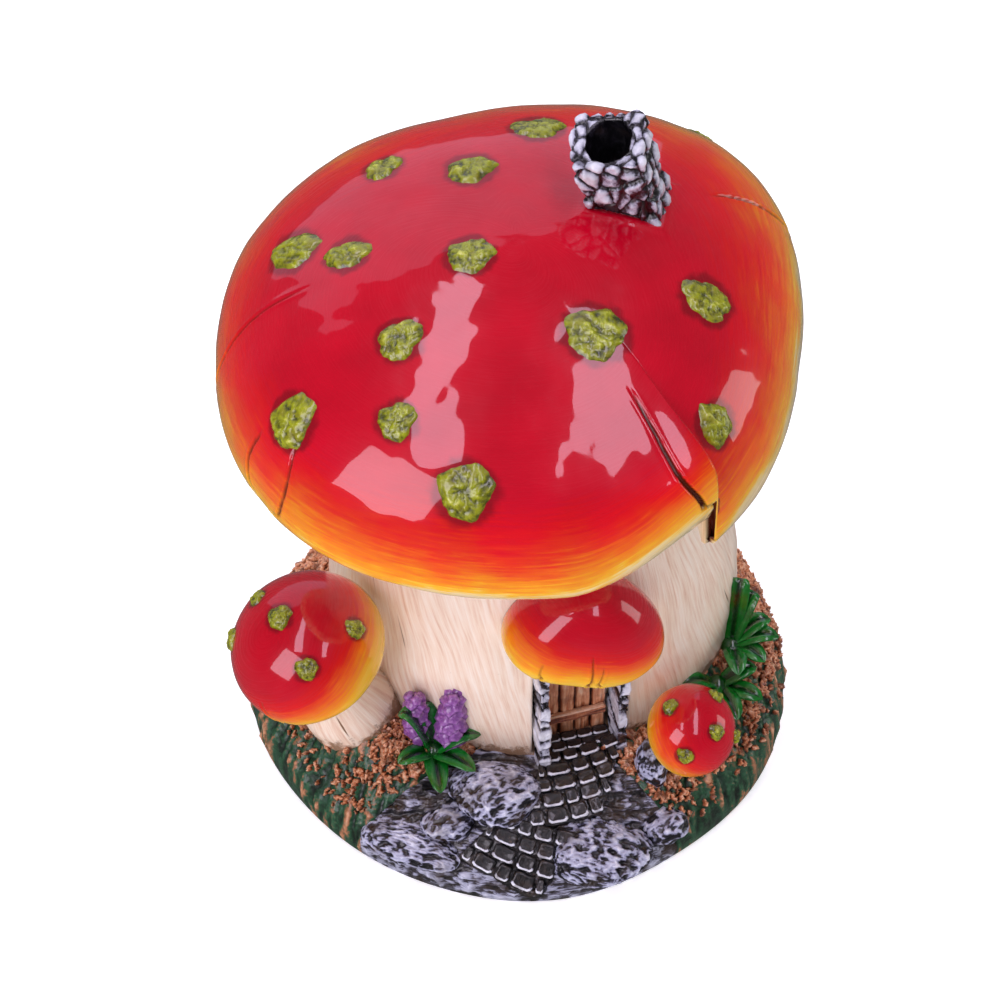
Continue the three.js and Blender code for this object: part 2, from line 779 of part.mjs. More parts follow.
// The annular plate inside the lip, with gills on its underside.
function gillsForm() {
  const outer = mainCap.radius - 2 * mainCap.lipTuck - gills.fitGap;
  const inner = spigotRadius * gills.innerShare;
  const top = mainCap.recess - glueGap;
  const profile = [
    [inner, top],
    [outer, top],
    [outer, top - gills.thickness],
    [(inner + outer) / 2, top - gills.thickness],
    [inner, top - gills.thickness],
    [inner, top],
  ];
  const plate = turned(profile, 2 * gills.count);
  return solid(
    warped(plate, (point) => {
      const bearing = bearingOf(point);
      const crest = Math.round((bearing * gills.count) / 180) % 2 === 0;
      const radius = Math.hypot(point.x, point.y);
      const isUnder = point.z < top - gills.thickness / 2;
      const full = Math.min(1, (outer - radius) / gills.endRun + gills.endShare);
      if (crest && isUnder) point.z -= gills.depth * full;
      shapeCap(mainCap, point);
    }),
  );
}

// Chimney

function chimneyRing(width, height) {
  const half = width / 2;
  const deep = half * chimney.depthShare;
  const { cornerShare, bulge } = chimney;
  const quarter = [
    [1, -cornerShare],
    [bulge, 0],
    [1, cornerShare],
  ];
  const plan = [0, 1, 2, 3].flatMap((side) =>
    quarter.map(([out, along]) => {
      const turn = side * 90 * deg;
      return [out * Math.cos(turn) - along * Math.sin(turn), out * Math.sin(turn) + along * Math.cos(turn)];
    }),
  );
  return plan.map(([x, y]) => new THREE.Vector3(x * half, y * deep, height));
}

function chimneyForm(grow) {
  const { courses, jointInset, jointHeight, footWidth, topWidth } = chimney;
  const rings = [chimneyRing(footWidth + 2 * grow, -chimney.root)];
  for (let course = 0; course < courses; course++) {
    const low = (chimney.height * course) / courses;
    const high = (chimney.height * (course + 1)) / courses;
    const width = mix(footWidth, topWidth, (course + 0.5) / courses) + 2 * grow;
    rings.push(chimneyRing(width - 2 * jointInset, low));
    rings.push(chimneyRing(width, low + jointHeight), chimneyRing(width, high - jointHeight));
  }
  const crown = chimneyRing(topWidth - 2 * jointInset + 2 * grow, chimney.height);
  const halfDepth = (topWidth / 2) * chimney.depthShare;
  crown.forEach((point, i) => {
    point.z += (i % 2) * chimney.crenel + (chimney.backRise / 2) * (1 + point.y / halfDepth);
  });
  const flueLength = chimney.flueDepth + chimney.backRise + 2 * chimney.crenel;
  const { flueRadius, flueTaper } = chimney;
  const flue = new THREE.CylinderGeometry(flueRadius, flueRadius * flueTaper, flueLength, flueSegments)
    .rotateX(Math.PI / 2)
    .translate(0, 0, chimney.height - chimney.flueDepth + flueLength / 2);
  return solid(lofted([...rings, crown])).subtract(solid(flue));
}

// Doorway. Its group stands on the trunk's axis with -Y towards the door, so depths are measured along -Y

const sill = groundHeight(doorBearing, 0) + sillRise;
const wallFace = trunkReach(doorBearing, sill);
const doorFace = wallFace - doorRecess;
const doorBack = doorFace - doorThickness;
const doorwayHalf = doorWidth / 2 + glueGap + jambWidth + glueGap;

function doorwayForm() {
  const low = [-doorwayHalf, -wallFace - trunkBellyRadius, sill];
  const high = [doorwayHalf, -doorBack + glueGap, sill + doorHeight + glueGap];
  return solid(block(low, high));
}

// The door leaf: a board with a groove between each two planks.
function doorForm() {
  const half = doorWidth / 2;
  const outline = [[-half, -doorBack], [half, -doorBack]];
  for (let plank = doorPlanks; plank > 0; plank--) {
    const right = -half + (doorWidth * plank) / doorPlanks;
    const left = right - doorWidth / doorPlanks;
    const edge = plankGroove / 2;
    outline.push([plank === doorPlanks ? right : right - edge, -doorFace]);
    outline.push([plank === 1 ? left : left + edge, -doorFace]);
    if (plank > 1) outline.push([left, -doorFace + plankGroove]);
  }
  return solid(raised(outline.reverse(), sill + glueGap, sill + doorHeight));
}

function battenForm() {
  const half = doorWidth / 2 - battenInset;
  const face = doorFace + glueGap;
  const low = sill + battenAt - battenHeight / 2;
  return solid(block([-half, -face - battenThickness, low], [half, -face, low + battenHeight]));
}

// The paved step on the sill, from the door's face out to the trunk's surface.
function doorStepForm(grow) {
  const half = doorWidth / 2 + grow;
  const low = [-half, -wallFace - grow, sill + glueGap - grow];
  return solid(block(low, [half, -doorFace - glueGap + grow, sill + glueGap + doorStepThickness + grow]));
}

// A jamb: squared stones stacked beside the door, with a joint between each two.
function jambForm(side) {
  return (grow) => {
    const middle = side * (doorWidth / 2 + glueGap + jambWidth / 2);
    const front = -wallFace - jambProud;
    const back = -doorBack + grow;
    const pitch = (doorHeight - glueGap) / jambCourses;
    const ring = (inset, height) => {
      const half = jambWidth / 2 + grow - inset;
      const face = front - grow + inset;
      return [[-half, face], [half, face], [half, back], [-half, back]].map(
        ([x, y]) => new THREE.Vector3(middle + x, y, height),
      );
    };
    const foot = sill + glueGap;
    const rings = [ring(jambJoint, foot)];
    for (let course = 0; course < jambCourses; course++) {
      const low = foot + course * pitch;
      rings.push(ring(0, low + jambBevel), ring(0, low + pitch - jambBevel), ring(jambJoint, low + pitch));
    }
    return solid(lofted(rings));
  };
}

// Paving

function pavingForm(path) {
  const last = path.rows - 1;
  const swing = (path.end.bearing - path.start.bearing) / (last * path.end.halfSpan);
  const pitch = (path.end.share - path.start.share) / last - path.slant * swing;
  const rows = Array.from({ length: path.rows }, (unused, row) => row / last);
  return (grow) => united(rows.map((along) => brickRow(path, along, pitch, grow)));
}

// One row of bricks: its bed overlaps the next row's, and a groove marks the end of each brick.
function brickRow(path, along, pitch, grow) {
  const middle = mix(path.start.bearing, path.end.bearing, along);
  const halfSpan = mix(path.start.halfSpan, path.end.halfSpan, along);
  const span = groundPoint(middle, 0).distanceTo(groundPoint(middle, 1));
  const bedHalf = pitch / 2 + paving.overlap / span;
  const topHalf = (pitch - paving.joint / span) / 2;
  const samples = 2 * paving.bricks - 2;
  const rings = Array.from({ length: samples + 1 }, (unused, i) => {
    const across = (2 * i) / samples - 1;
    const isSeam = i % 2 === 0 && i > 0 && i < samples;
    const top = paving.thickness - (isSeam ? paving.brickGroove : 0) + grow;
    const corner = (offset, lift) => {
      const share = mix(path.start.share, path.end.share, along) + path.slant * across + offset;
      return groundPoint(middle + halfSpan * across, share, lift);
    };
    return [
      corner(-bedHalf, -paving.bed),
      corner(bedHalf, -paving.bed),
      corner(bedHalf, paving.bed + grow),
      corner(topHalf, top),
      corner(-topHalf, top),
      corner(-bedHalf, paving.bed + grow),
    ];
  });
  return solid(lofted(rings));
}

// Rocks: a rounded boulder with a few broad faces

function rockForm(rock, seed) {
  const { broad, broadTurns, fine, fineTurns } = rockFaces;
  return (grow) => {
    const ball = new THREE.IcosahedronGeometry(1, rock.size[0] > bigRock ? rockDetail.big : rockDetail.small);
    warped(ball, (point) => {
      const { x, y, z } = point;
      const broadWave = Math.sin(broadTurns[0] * x + seed) * Math.cos(broadTurns[1] * y + 2 * seed);
      const fineWave = Math.sin(fineTurns[0] * z + fineTurns[1] * x + 3 * seed);
      point.multiplyScalar(1 + broad * broadWave + fine * fineWave);
      point.multiply(new THREE.Vector3(...rock.size).addScalar(grow));
    });
    return solid(ball);
  };
}

// Plants

function leafGeometry(leaf, width) {
  const out = toward(leaf.bearing);
  const across = toward(leaf.bearing + 90);
  const reach = leaf.length * Math.sqrt(1 - leaf.rise ** 2);
  const lift = leafThickness / 2;
  const rings = Array.from({ length: leafSteps + 1 }, (unused, i) => {
    const along = i / leafSteps;
    const height = leaf.rise * leaf.length * Math.sin(along * leafArch * deg);
    const belly = Math.sin(Math.PI * (leafBelly[0] + leafBelly[1] * along));
    const half = (width / 2) * mix(leafWaist, 1, belly) * (i === leafSteps ? leafTip : 1);
    const middle = out.clone().multiplyScalar(reach * along);
    const corner = (side, rise) => middle.clone().addScaledVector(across, side).setZ(height + rise);
    return [corner(-half, lift), corner(0, -lift), corner(half, lift), corner(0, lift * leafKeel)];
  });
  return lofted(rings);
}

function rosetteForm(plant) {
  return () => {
    const hub = new THREE.SphereGeometry(plant.hub, hubSegments, hubRings).rotateX(Math.PI / 2);
    return united([solid(hub), ...plant.leaves.map((leaf) => solid(leafGeometry(leaf, plant.width)))]);
  };
}

// A flower spike: tiers of florets round a stem, each tier pinched to the next.
function spikeForm(spike) {
  const { stem, stemTop, wide, narrow, pinch, taper, petals, puff } = floretTiers;
  const pitch = spike.height / (spike.tiers + 1);
  return (grow) => {
    const stemRadius = spike.radius * stem + grow;
    const profile = [[0, -pitch], [stemRadius, -pitch], [stemRadius, pitch * stemTop]];
    for (let tier = 0; tier < spike.tiers; tier++) {
      const radius = spike.radius * (1 - taper * (tier / spike.tiers) ** 2);
      profile.push([radius + grow, pitch * (tier + wide)], [radius * pinch + grow, pitch * (tier + narrow)]);
    }
    profile.push([0, spike.height + grow]);
    return solid(
      warped(turned(profile, petals), (point) => {
        const petal = Math.round((bearingOf(point) * petals) / 360);
        const tier = Math.round(point.z / pitch);
        const isHollow = (petal + tier) % 2 !== 0 && point.z > pitch * stemTop;
        if (isHollow) point.set(point.x * puff, point.y * puff, point.z);
      }),
    );
  };
}

// Assembly

const standing = ["ground", "trunk"];
grown.set("ground", groundForm(glueGap));

const trunkGroup = group(house, new THREE.Vector3(trunkX, trunkY, 0));
const doorTurn = turnTo(doorBearing);
const doorGroup = group(trunkGroup, new THREE.Vector3(), doorTurn);
seat(house, "base_plate", finish.plate, plateForm);
seat(trunkGroup, "trunk", finish.trunk, (grow) => {
  const body = trunkForm(grow);
  const doorwayTurn = new THREE.Matrix4().makeRotationFromQuaternion(doorTurn);
  return grow > 0 ? body : body.subtract(doorwayForm().transform(doorwayTurn.elements));
});
seat(house, "ground_bank", finish.moss, () => groundForm(0).subtract(ledgeWedge(glueGap)), ["trunk"]);
seat(house, "rock_ledge", finish.rock, () => groundForm(0).intersect(ledgeWedge(0)), ["trunk"]);

seat(doorGroup, "door_panel", finish.door, doorForm);
seat(doorGroup, "door_batten", finish.door, battenForm);
seat(doorGroup, "door_sill", finish.brick, doorStepForm);

const porchReach = trunkReach(porchBearing, porchHeight) + porchOut;
const porchPlace = toward(porchBearing).multiplyScalar(porchReach).setZ(porchHeight);
const porchTurn = leanTowards(porchLeanTo, porchLean).multiply(turnTo(porchBearing));
const porchForm = capForm(porchCap, smallCapSegments, smallCapPolars, porchSplits);
seat(group(trunkGroup, porchPlace, porchTurn), "porch_cap", finish.cap, porchForm, ["trunk"]);
const jambs = ["door_jamb_left", "door_jamb_right"];
jambs.forEach((name, i) => {
  seat(doorGroup, name, finish.chimney, jambForm(2 * i - 1), ["ground", "porch_cap"]);
});

const capGroup = group(house, new THREE.Vector3(capX, capY, capWidest), leanTowards(0, capTilt));
seat(capGroup, "main_cap", finish.cap, capForm(mainCap, capSegments, capPolars, capSplits), ["trunk"]);
seat(capGroup, "cap_gills", finish.gills, gillsForm, ["trunk", "main_cap"]);

const chimneyFoot = capPoint(mainCap, chimney.bearing, chimney.polar);
const chimneyTurn = leanTowards(90, chimney.lean).multiply(turnTo(chimney.turn));
seat(group(capGroup, chimneyFoot, chimneyTurn), "chimney", finish.chimney, chimneyForm, ["main_cap"]);

capMoss.forEach((patch, i) => {
  const name = `cap_moss_${String(i + 1).padStart(2, "0")}`;
  seat(capGroup, name, finish.spot, patchForm(mainCap, patch, capMossSegments), ["chimney"]);
});

toadstools.forEach((toadstool) => {
  const stemGroup = group(house, besideTrunk(toadstool.foot), leanTowards(toadstool.leanTo, toadstool.lean));
  const headGroup = group(
    stemGroup,
    new THREE.Vector3(0, 0, toadstool.stemHeight),
    leanTowards(toadstool.capTiltTo, toadstool.capTilt),
  );
  const { name, cap, splits } = toadstool;
  const headForm = capForm(cap, smallCapSegments, smallCapPolars, splits);
  seat(headGroup, `${name}_cap`, finish.cap, headForm, ["trunk"]);
  seat(stemGroup, `${name}_stem`, finish.trunk, stemForm(toadstool), [...standing, `${name}_cap`]);
  toadstool.moss.forEach((patch, i) => {
    const form = patchForm(cap, patch, smallMossSegments);
    seat(headGroup, `${name}_moss_${i + 1}`, finish.spot, form, ["trunk"]);
  });
});

rocks.forEach((rock, i) => {
  const earlier = rocks.slice(0, i).map((other) => other.name);
  const neighbours = [...standing, ...jambs, "right_toadstool_stem", "right_toadstool_cap", ...earlier];
  const rockGroup = group(house, groundPoint(rock.bearing, rock.share, rock.rise), turnTo(rock.turn));
  seat(rockGroup, rock.name, finish.rock, rockForm(rock, i + 1), neighbours);
});

const stones = [...jambs, ...rocks.map((rock) => rock.name)];
pavedPaths.forEach((path, i) => {
  const earlier = pavedPaths.slice(0, i).map((other) => other.name);
  seat(house, path.name, finish.brick, pavingForm(path), [...standing, "door_sill", ...stones, ...earlier]);
});

const hyacinthGroup = group(house, besideTrunk(hyacinth.foot));
spikes.forEach((spike) => {
  const place = new THREE.Vector3(spike.side, spike.back, 0);
  const spikeGroup = group(hyacinthGroup, place, leanTowards(90, spike.lean));
  seat(spikeGroup, spike.name, finish.flower, spikeForm(spike), [...standing, ...stones]);
});
const aroundLeaves = [...standing, ...stones, ...spikes.map((spike) => spike.name)];
seat(hyacinthGroup, "hyacinth_leaves", finish.leaf, rosetteForm(hyacinth), aroundLeaves);
rosettes.forEach((plant, i) => {
  const neighbours = [...standing, "right_toadstool_cap", "right_toadstool_stem"];
  const plantGroup = group(house, besideTrunk(plant.foot, plant.hub * hubSink));
  const earlier = rosettes.slice(0, i).map((other) => other.name);
  seat(plantGroup, plant.name, finish.leaf, rosetteForm(plant), [...neighbours, ...earlier]);
});

export default house;
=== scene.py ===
"""Looks of the mushroom fairy house, a hand-painted ornament of cast resin, dressed on its packed frame.

Sizes are in millimetres and are turned to metres when a mesh is made. A bearing is an angle in degrees
round a vertical axis: 0 is the front, where the door is, and 90 is the right.
"""

import json
import logging
import math
from dataclasses import dataclass, field
from enum import Enum
from functools import partial
from typing import Any, Sequence

import bmesh
import bpy
import numpy as np
from mathutils import Matrix, Vector, noise


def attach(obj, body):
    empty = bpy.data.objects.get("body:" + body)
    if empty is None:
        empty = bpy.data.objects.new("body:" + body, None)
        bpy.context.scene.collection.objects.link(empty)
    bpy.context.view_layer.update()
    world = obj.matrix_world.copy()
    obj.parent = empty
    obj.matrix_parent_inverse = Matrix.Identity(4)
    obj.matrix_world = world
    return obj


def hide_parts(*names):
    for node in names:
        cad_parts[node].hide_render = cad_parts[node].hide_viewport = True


MM = 0.001
LOG = logging.getLogger("fairy_house")

Array = np.ndarray
Pair = tuple[float, float]
Triple = tuple[float, float, float]
Socket = bpy.types.NodeSocket
Tree = bpy.types.NodeTree
Thing = bpy.types.Object

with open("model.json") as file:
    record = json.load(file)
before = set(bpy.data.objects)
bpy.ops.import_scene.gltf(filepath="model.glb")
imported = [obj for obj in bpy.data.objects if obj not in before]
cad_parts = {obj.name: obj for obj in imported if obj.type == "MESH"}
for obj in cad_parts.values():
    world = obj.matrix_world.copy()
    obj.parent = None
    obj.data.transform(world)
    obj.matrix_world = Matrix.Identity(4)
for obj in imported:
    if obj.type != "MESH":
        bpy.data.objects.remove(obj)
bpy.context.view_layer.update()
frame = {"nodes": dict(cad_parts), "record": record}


# Points and directions

def toward(bearing: Any) -> Array:
    """Gives the level unit vectors towards bearings."""
    turn = np.radians(np.asarray(bearing, float))
    return np.stack([np.sin(turn), -np.cos(turn), np.zeros_like(turn)], axis=-1)


def around(bearing: Any, radius: Any, height: Any) -> Array:
    """Gives points by their bearing, their distance from the vertical axis and their height."""
    points = toward(bearing) * np.asarray(radius)[..., None]
    points[..., 2] = height
    return points


def signed(angle: Any) -> Any:
    """Gives an angle in degrees as one from -180 to 180."""
    return (angle + 180) % 360 - 180


def full_turn(columns: int, whole: float = 360) -> Array:
    """Gives even steps round a full turn, in degrees or in other units."""
    return np.linspace(0, whole, columns, endpoint=False)


def grid(down: Array, along: Array) -> Sequence[Array]:
    """Gives two grids: one whose values change from row to row, and one whose values change along a row."""
    return np.broadcast_arrays(down[:, None], along[None, :])


def mix(start: Any, end: Any, share: Any) -> Any:
    """Gives the value that lies a share of the way from a start to an end."""
    return start + (end - start) * share


def smooth(share: Any) -> Array:
    """Eases a share between 0 and 1 in and out."""
    held = np.clip(share, 0, 1)
    return held * held * (3 - 2 * held)


def lean_towards(bearing: float, angle: float) -> Matrix:
    """Gives the turn that takes straight up to lean by an angle towards a bearing."""
    side = Vector((math.cos(math.radians(bearing)), math.sin(math.radians(bearing)), 0))
    return Matrix.Rotation(math.radians(angle), 4, side)


def turn_to(bearing: float) -> Matrix:
    """Gives the turn round the vertical axis that takes the front to a bearing."""
    return Matrix.Rotation(math.radians(bearing), 4, "Z")


def standing_at(point: Any) -> Matrix:
    """Gives the place of a point."""
    return Matrix.Translation(Vector(point))


def placed(points: Array, place: Matrix) -> Array:
    """Gives points of a piece's own space in the house's space."""
    turn = np.array(place.to_3x3())
    return points @ turn.T + np.array(place.translation)


def grain(points: Array, pitch: float, octaves: int = 3, shift: float = 0.0) -> Array:
    """Gives smooth noise, about -1 to 1, at points.

    Args:
        points: positions, with x, y and z last.
        pitch: size in millimetres of the largest lumps.
        octaves: how many finer layers are added.
        shift: moves the pattern, so that two pieces differ.

    Returns:
        One value for each point.
    """
    spots = (points / pitch + shift).reshape(-1, 3).tolist()
    values = [noise.fractal(spot, 1.0, 2.0, octaves) for spot in spots]
    return np.array(values).reshape(points.shape[:-1])


def rough_shift(points: Array, pitch: float = 1.6) -> Array:
    """Gives uneven steps along x, y and z, about -1 to 1, that break up a regular pattern."""
    return np.stack([grain(points, pitch, 2, shift) for shift in (31.0, 47.0, 59.0)], -1)


def cobbles(points: Array, pitch: float, shift: float = 0.0) -> tuple[Array, Array]:
    """Gives a pattern of close-packed stones.

    Args:
        points: positions, with x, y and z last.
        pitch: size of a stone in millimetres.
        shift: moves the pattern.

    Returns:
        How far each point is from the nearest joint, and one number from 0 to 1 for each stone.
    """
    inside, stone = [], []
    for spot in (points / pitch + shift).reshape(-1, 3).tolist():
        distances, centres = noise.voronoi(spot)
        inside.append(distances[1] - distances[0])
        stone.append(noise.cell(centres[0] * 7.3))
    shape = points.shape[:-1]
    return np.array(inside).reshape(shape), np.array(stone).reshape(shape)


@dataclass(frozen=True)
class Wave:
    """One wave round a bearing: how many crests, how high, and where its first crest is."""

    count: int
    size: float
    crest: float

    def at(self, bearing: Any) -> Any:
        """Gives the wave's height at a bearing."""
        return self.size * np.cos(np.radians(self.count * (bearing - self.crest)))


def waves(parts: Sequence[Wave], bearing: Any) -> Any:
    """Gives the sum of a few waves at a bearing."""
    return sum((wave.at(bearing) for wave in parts), np.zeros_like(np.asarray(bearing, float)))


# Colours and materials

def linear(code: str) -> tuple[float, float, float, float]:
    """Turns an sRGB hex colour into linear light."""
    parts = [int(code[i:i + 2], 16) / 255 for i in (1, 3, 5)]
    red, green, blue = [
        part / 12.92 if part <= 0.04045 else ((part + 0.055) / 1.055) ** 2.4 for part in parts
    ]
    return red, green, blue, 1.0


Painted = tuple[Socket, Socket, Socket]


def add(
    tree: Tree, kind: str, settings: dict[Any, Any], links: dict[Any, Socket], output: Any = 0
) -> Socket | None:
    """Adds a node.

    Args:
        tree: the tree that it goes in.
        kind: the node's type name.
        settings: its properties, its inputs' values, and for a ramp its stops of place and colour.
        links: the output that each of its inputs is linked to.
        output: the name or number of the output that is wanted.

    Returns:
        That output, or None where the node has none.
    """
    node = tree.nodes.new(kind)
    for key, value in settings.items():
        if key == "stops":
            ramp = node.color_ramp
            for place, code in value[1:-1]:
                ramp.elements.new(place).color = linear(code)
            for end, (place, code) in ((0, value[0]), (-1, value[-1])):
                ramp.elements[end].position = place
                ramp.elements[end].color = linear(code)
        elif isinstance(key, str) and key in node.bl_rna.properties:
            setattr(node, key, value)
        else:
            node.inputs[key].default_value = value
    for key, socket in links.items():
        tree.links.new(socket, node.inputs[key])
    return node.outputs[output] if node.outputs else None


# Where in a patchy noise a stain begins, and where it has its full strength
STAIN_BEGINS = 0.52
STAIN_FULL = 0.66


@dataclass(frozen=True)
class Gloss:
    """How a surface shines: its own roughness, and its coat of varnish."""

    low: float = 0.3
    high: float = 0.5
    coat: float = 0.6
    coat_roughness: float = 0.12
    ior: float = 1.5
    specular: float = 0.5


@dataclass(frozen=True)
class Finish:
    """A painted finish: colours by relief, broken by a patchy noise, with bump and varnish.

    The mesh attribute "high" says how far a point stands up, from 0 in a hollow to 1 on a crest; on some
    pieces it also carries painted light and shade.
    """

    name: str
    slot: str
    tones: tuple[tuple[float, str], ...]
    stain_and_shade: str = "#3A2A20"
    stain_share: float = 0.3
    patch: float = 6.0
    grit: float = 0.8
    ragged: float = 0.35
    bump: float = 0.12
    gloss: Gloss = Gloss()
    stretch: Triple = (1.0, 1.0, 1.0)
    swirl: float = 0.0

    def material(self) -> bpy.types.Material:
        """Gives the finish's material, made on first use."""
        made = bpy.data.materials.get(self.name)
        if made:
            return made
        made = bpy.data.materials.new(self.name)
        made.use_nodes = True
        tree = made.node_tree
        tree.nodes.clear()
        node = partial(add, tree)
        place = node("ShaderNodeTexCoord", {}, {}, "Object")
        colour, height, rough = self.paint(tree, place)
        shine = node(
            "ShaderNodeMapRange", {"To Min": self.gloss.low, "To Max": self.gloss.high}, {"Value": rough}
        )
        relief = node("ShaderNodeBump", {"Strength": 1.0, "Distance": self.bump * MM}, {"Height": height})
        shader = node(
            "ShaderNodeBsdfPrincipled",
            {
                "IOR": self.gloss.ior,
                "Specular IOR Level": self.gloss.specular,
                "Coat Weight": self.gloss.coat,
                "Coat Roughness": self.gloss.coat_roughness,
            },
            {"Base Color": colour, "Roughness": shine, "Normal": relief},
        )
        node("ShaderNodeOutputMaterial", {}, {"Surface": shader})
        return made

    def paint(self, tree: Tree, place: Socket) -> Painted:
        """Lays out the finish's colour.

        Args:
            tree: the material's tree.
            place: the point in the house's space.

        Returns:
            The colour, the height for the bump, and how rough it is from 0 to 1.
        """
        node = partial(add, tree)
        high = node("ShaderNodeAttribute", {"attribute_name": "high"}, {}, "Fac")
        drawn = node("ShaderNodeVectorMath", {"operation": "MULTIPLY", 1: self.stretch}, {0: place})
        grit = node(
            "ShaderNodeTexNoise",
            {"Scale": 1 / (self.grit * MM), "Detail": 4.0, "Roughness": 0.65, "Distortion": self.swirl},
            {"Vector": drawn},
        )
        patch = node("ShaderNodeTexNoise", {"Scale": 1 / (self.patch * MM), "Detail": 3.0}, {"Vector": place})
        loose = node(
            "ShaderNodeMath", {"operation": "MULTIPLY_ADD", 1: 2 * self.ragged, 2: -self.ragged}, {0: grit}
        )
        spot = node("ShaderNodeMath", {"operation": "ADD"}, {0: high, 1: loose})
        tone = node("ShaderNodeValToRGB", {"stops": self.tones}, {"Fac": spot})
        stained = node(
            "ShaderNodeMapRange",
            {"From Min": STAIN_BEGINS, "From Max": STAIN_FULL, "To Min": 0.0, "To Max": self.stain_share},
            {"Value": patch},
        )
        colour = node("ShaderNodeMix", {"data_type": "RGBA", 7: linear(self.stain_and_shade)}, {0: stained, 6: tone}, 2)
        return colour, spot, grit


@dataclass(frozen=True)
class CapLacquer(Finish):
    """Crimson lacquer that fades over orange and yellow to a cream rim, brushed along the rim.

    The attribute "rim" is the distance in millimetres from the painted edge, and "comb" the way of the brush
    in its own pitches. "deep" is how far down a split a point is, or how near the seam with the trunk, and
    the last
    attribute is how near a moss patch is: both darken the lacquer with painted shade.
    """

    band: float = 34.0
    wander: float = 4.5
    streak: float = 5.0
    cloud: float = 18.0
    light: float = 1.08
    dark: float = 0.86
    # Colour of the painted shade round each moss patch
    moss_shade_colour: str = "#7E0014"
    scratch_pitch: float = 26.0
    scratch_width: float = 0.0016
    scratch_depth: float = 0.5
    stroke_depth: float = 0.35

    def paint(self, tree: Tree, place: Socket) -> Painted:
        """Lays out the lacquer's colour, its scratches and its gloss."""
        node = partial(add, tree)
        rim, deep, bleed = [
            node("ShaderNodeAttribute", {"attribute_name": name}, {}, "Fac")
            for name in ("rim", "deep", "bleed")
        ]
        comb = node("ShaderNodeAttribute", {"attribute_name": "comb"}, {}, "Vector")
        broad = node("ShaderNodeTexNoise", {"Scale": 1 / (self.cloud * MM), "Detail": 3.0}, {"Vector": place})
        stroke = node("ShaderNodeTexNoise", {"Scale": 1.0, "Detail": 4.0, "Roughness": 0.7}, {"Vector": comb})
        reach = rim
        for uneven, most in ((broad, self.wander), (stroke, self.streak)):
            drift = node(
                "ShaderNodeMath", {"operation": "MULTIPLY_ADD", 1: 4 * most, 2: -2 * most}, {0: uneven}
            )
            reach = node("ShaderNodeMath", {"operation": "ADD"}, {0: reach, 1: drift})
        share = node("ShaderNodeMapRange", {"From Max": self.band}, {"Value": reach})
        tone = node("ShaderNodeValToRGB", {"stops": self.tones}, {"Fac": share})
        depth = node(
            "ShaderNodeMapRange",
            {"From Min": 0.3, "From Max": 0.75, "To Min": self.dark, "To Max": self.light},
            {"Value": broad},
        )
        colour = node(
            "ShaderNodeMix", {"data_type": "RGBA", "blend_type": "MULTIPLY", 0: 1.0}, {6: tone, 7: depth}, 2
        )
        # Painted shade: darker crimson round the moss patches, then brown in the splits and along the seam
        # with the trunk
        for strength, stain_and_shade in ((bleed, self.moss_shade_colour), (deep, self.stain_and_shade)):
            colour = node(
                "ShaderNodeMix", {"data_type": "RGBA", 7: linear(stain_and_shade)}, {0: strength, 6: colour}, 2
            )
        curl = node(
            "ShaderNodeTexNoise",
            {"Scale": 1 / (self.scratch_pitch * MM), "Detail": 1.0, "Distortion": 0.9},
            {"Vector": place},
        )
        offset = node("ShaderNodeMath", {"operation": "SUBTRACT", 1: 0.5}, {0: curl})
        line = node("ShaderNodeMath", {"operation": "ABSOLUTE"}, {0: offset})
        scratch = node(
            "ShaderNodeMapRange",
            {"From Max": self.scratch_width, "To Min": 0.0, "To Max": self.scratch_depth},
            {"Value": line},
        )
        height = node(
            "ShaderNodeMath", {"operation": "MULTIPLY_ADD", 1: self.stroke_depth}, {0: stroke, 2: scratch}
        )
        return colour, height, stroke


CAP_TONES = (
    (0.0, "#F8DFA8"),
    (0.05, "#FBDC84"),
    (0.11, "#FBC228"),
    (0.24, "#F5940E"),
    (0.42, "#EC600C"),
    (0.58, "#E12E10"),
    (0.76, "#D80618"),
    (1.0, "#C80022"),
)
SMALL_CAP_TONES = (
    (0.0, "#F9C83A"),
    (0.12, "#F9B422"),
    (0.28, "#F28A16"),
    (0.46, "#EA5614"),
    (0.64, "#DA1412"),
    (1.0, "#C40020"),
)


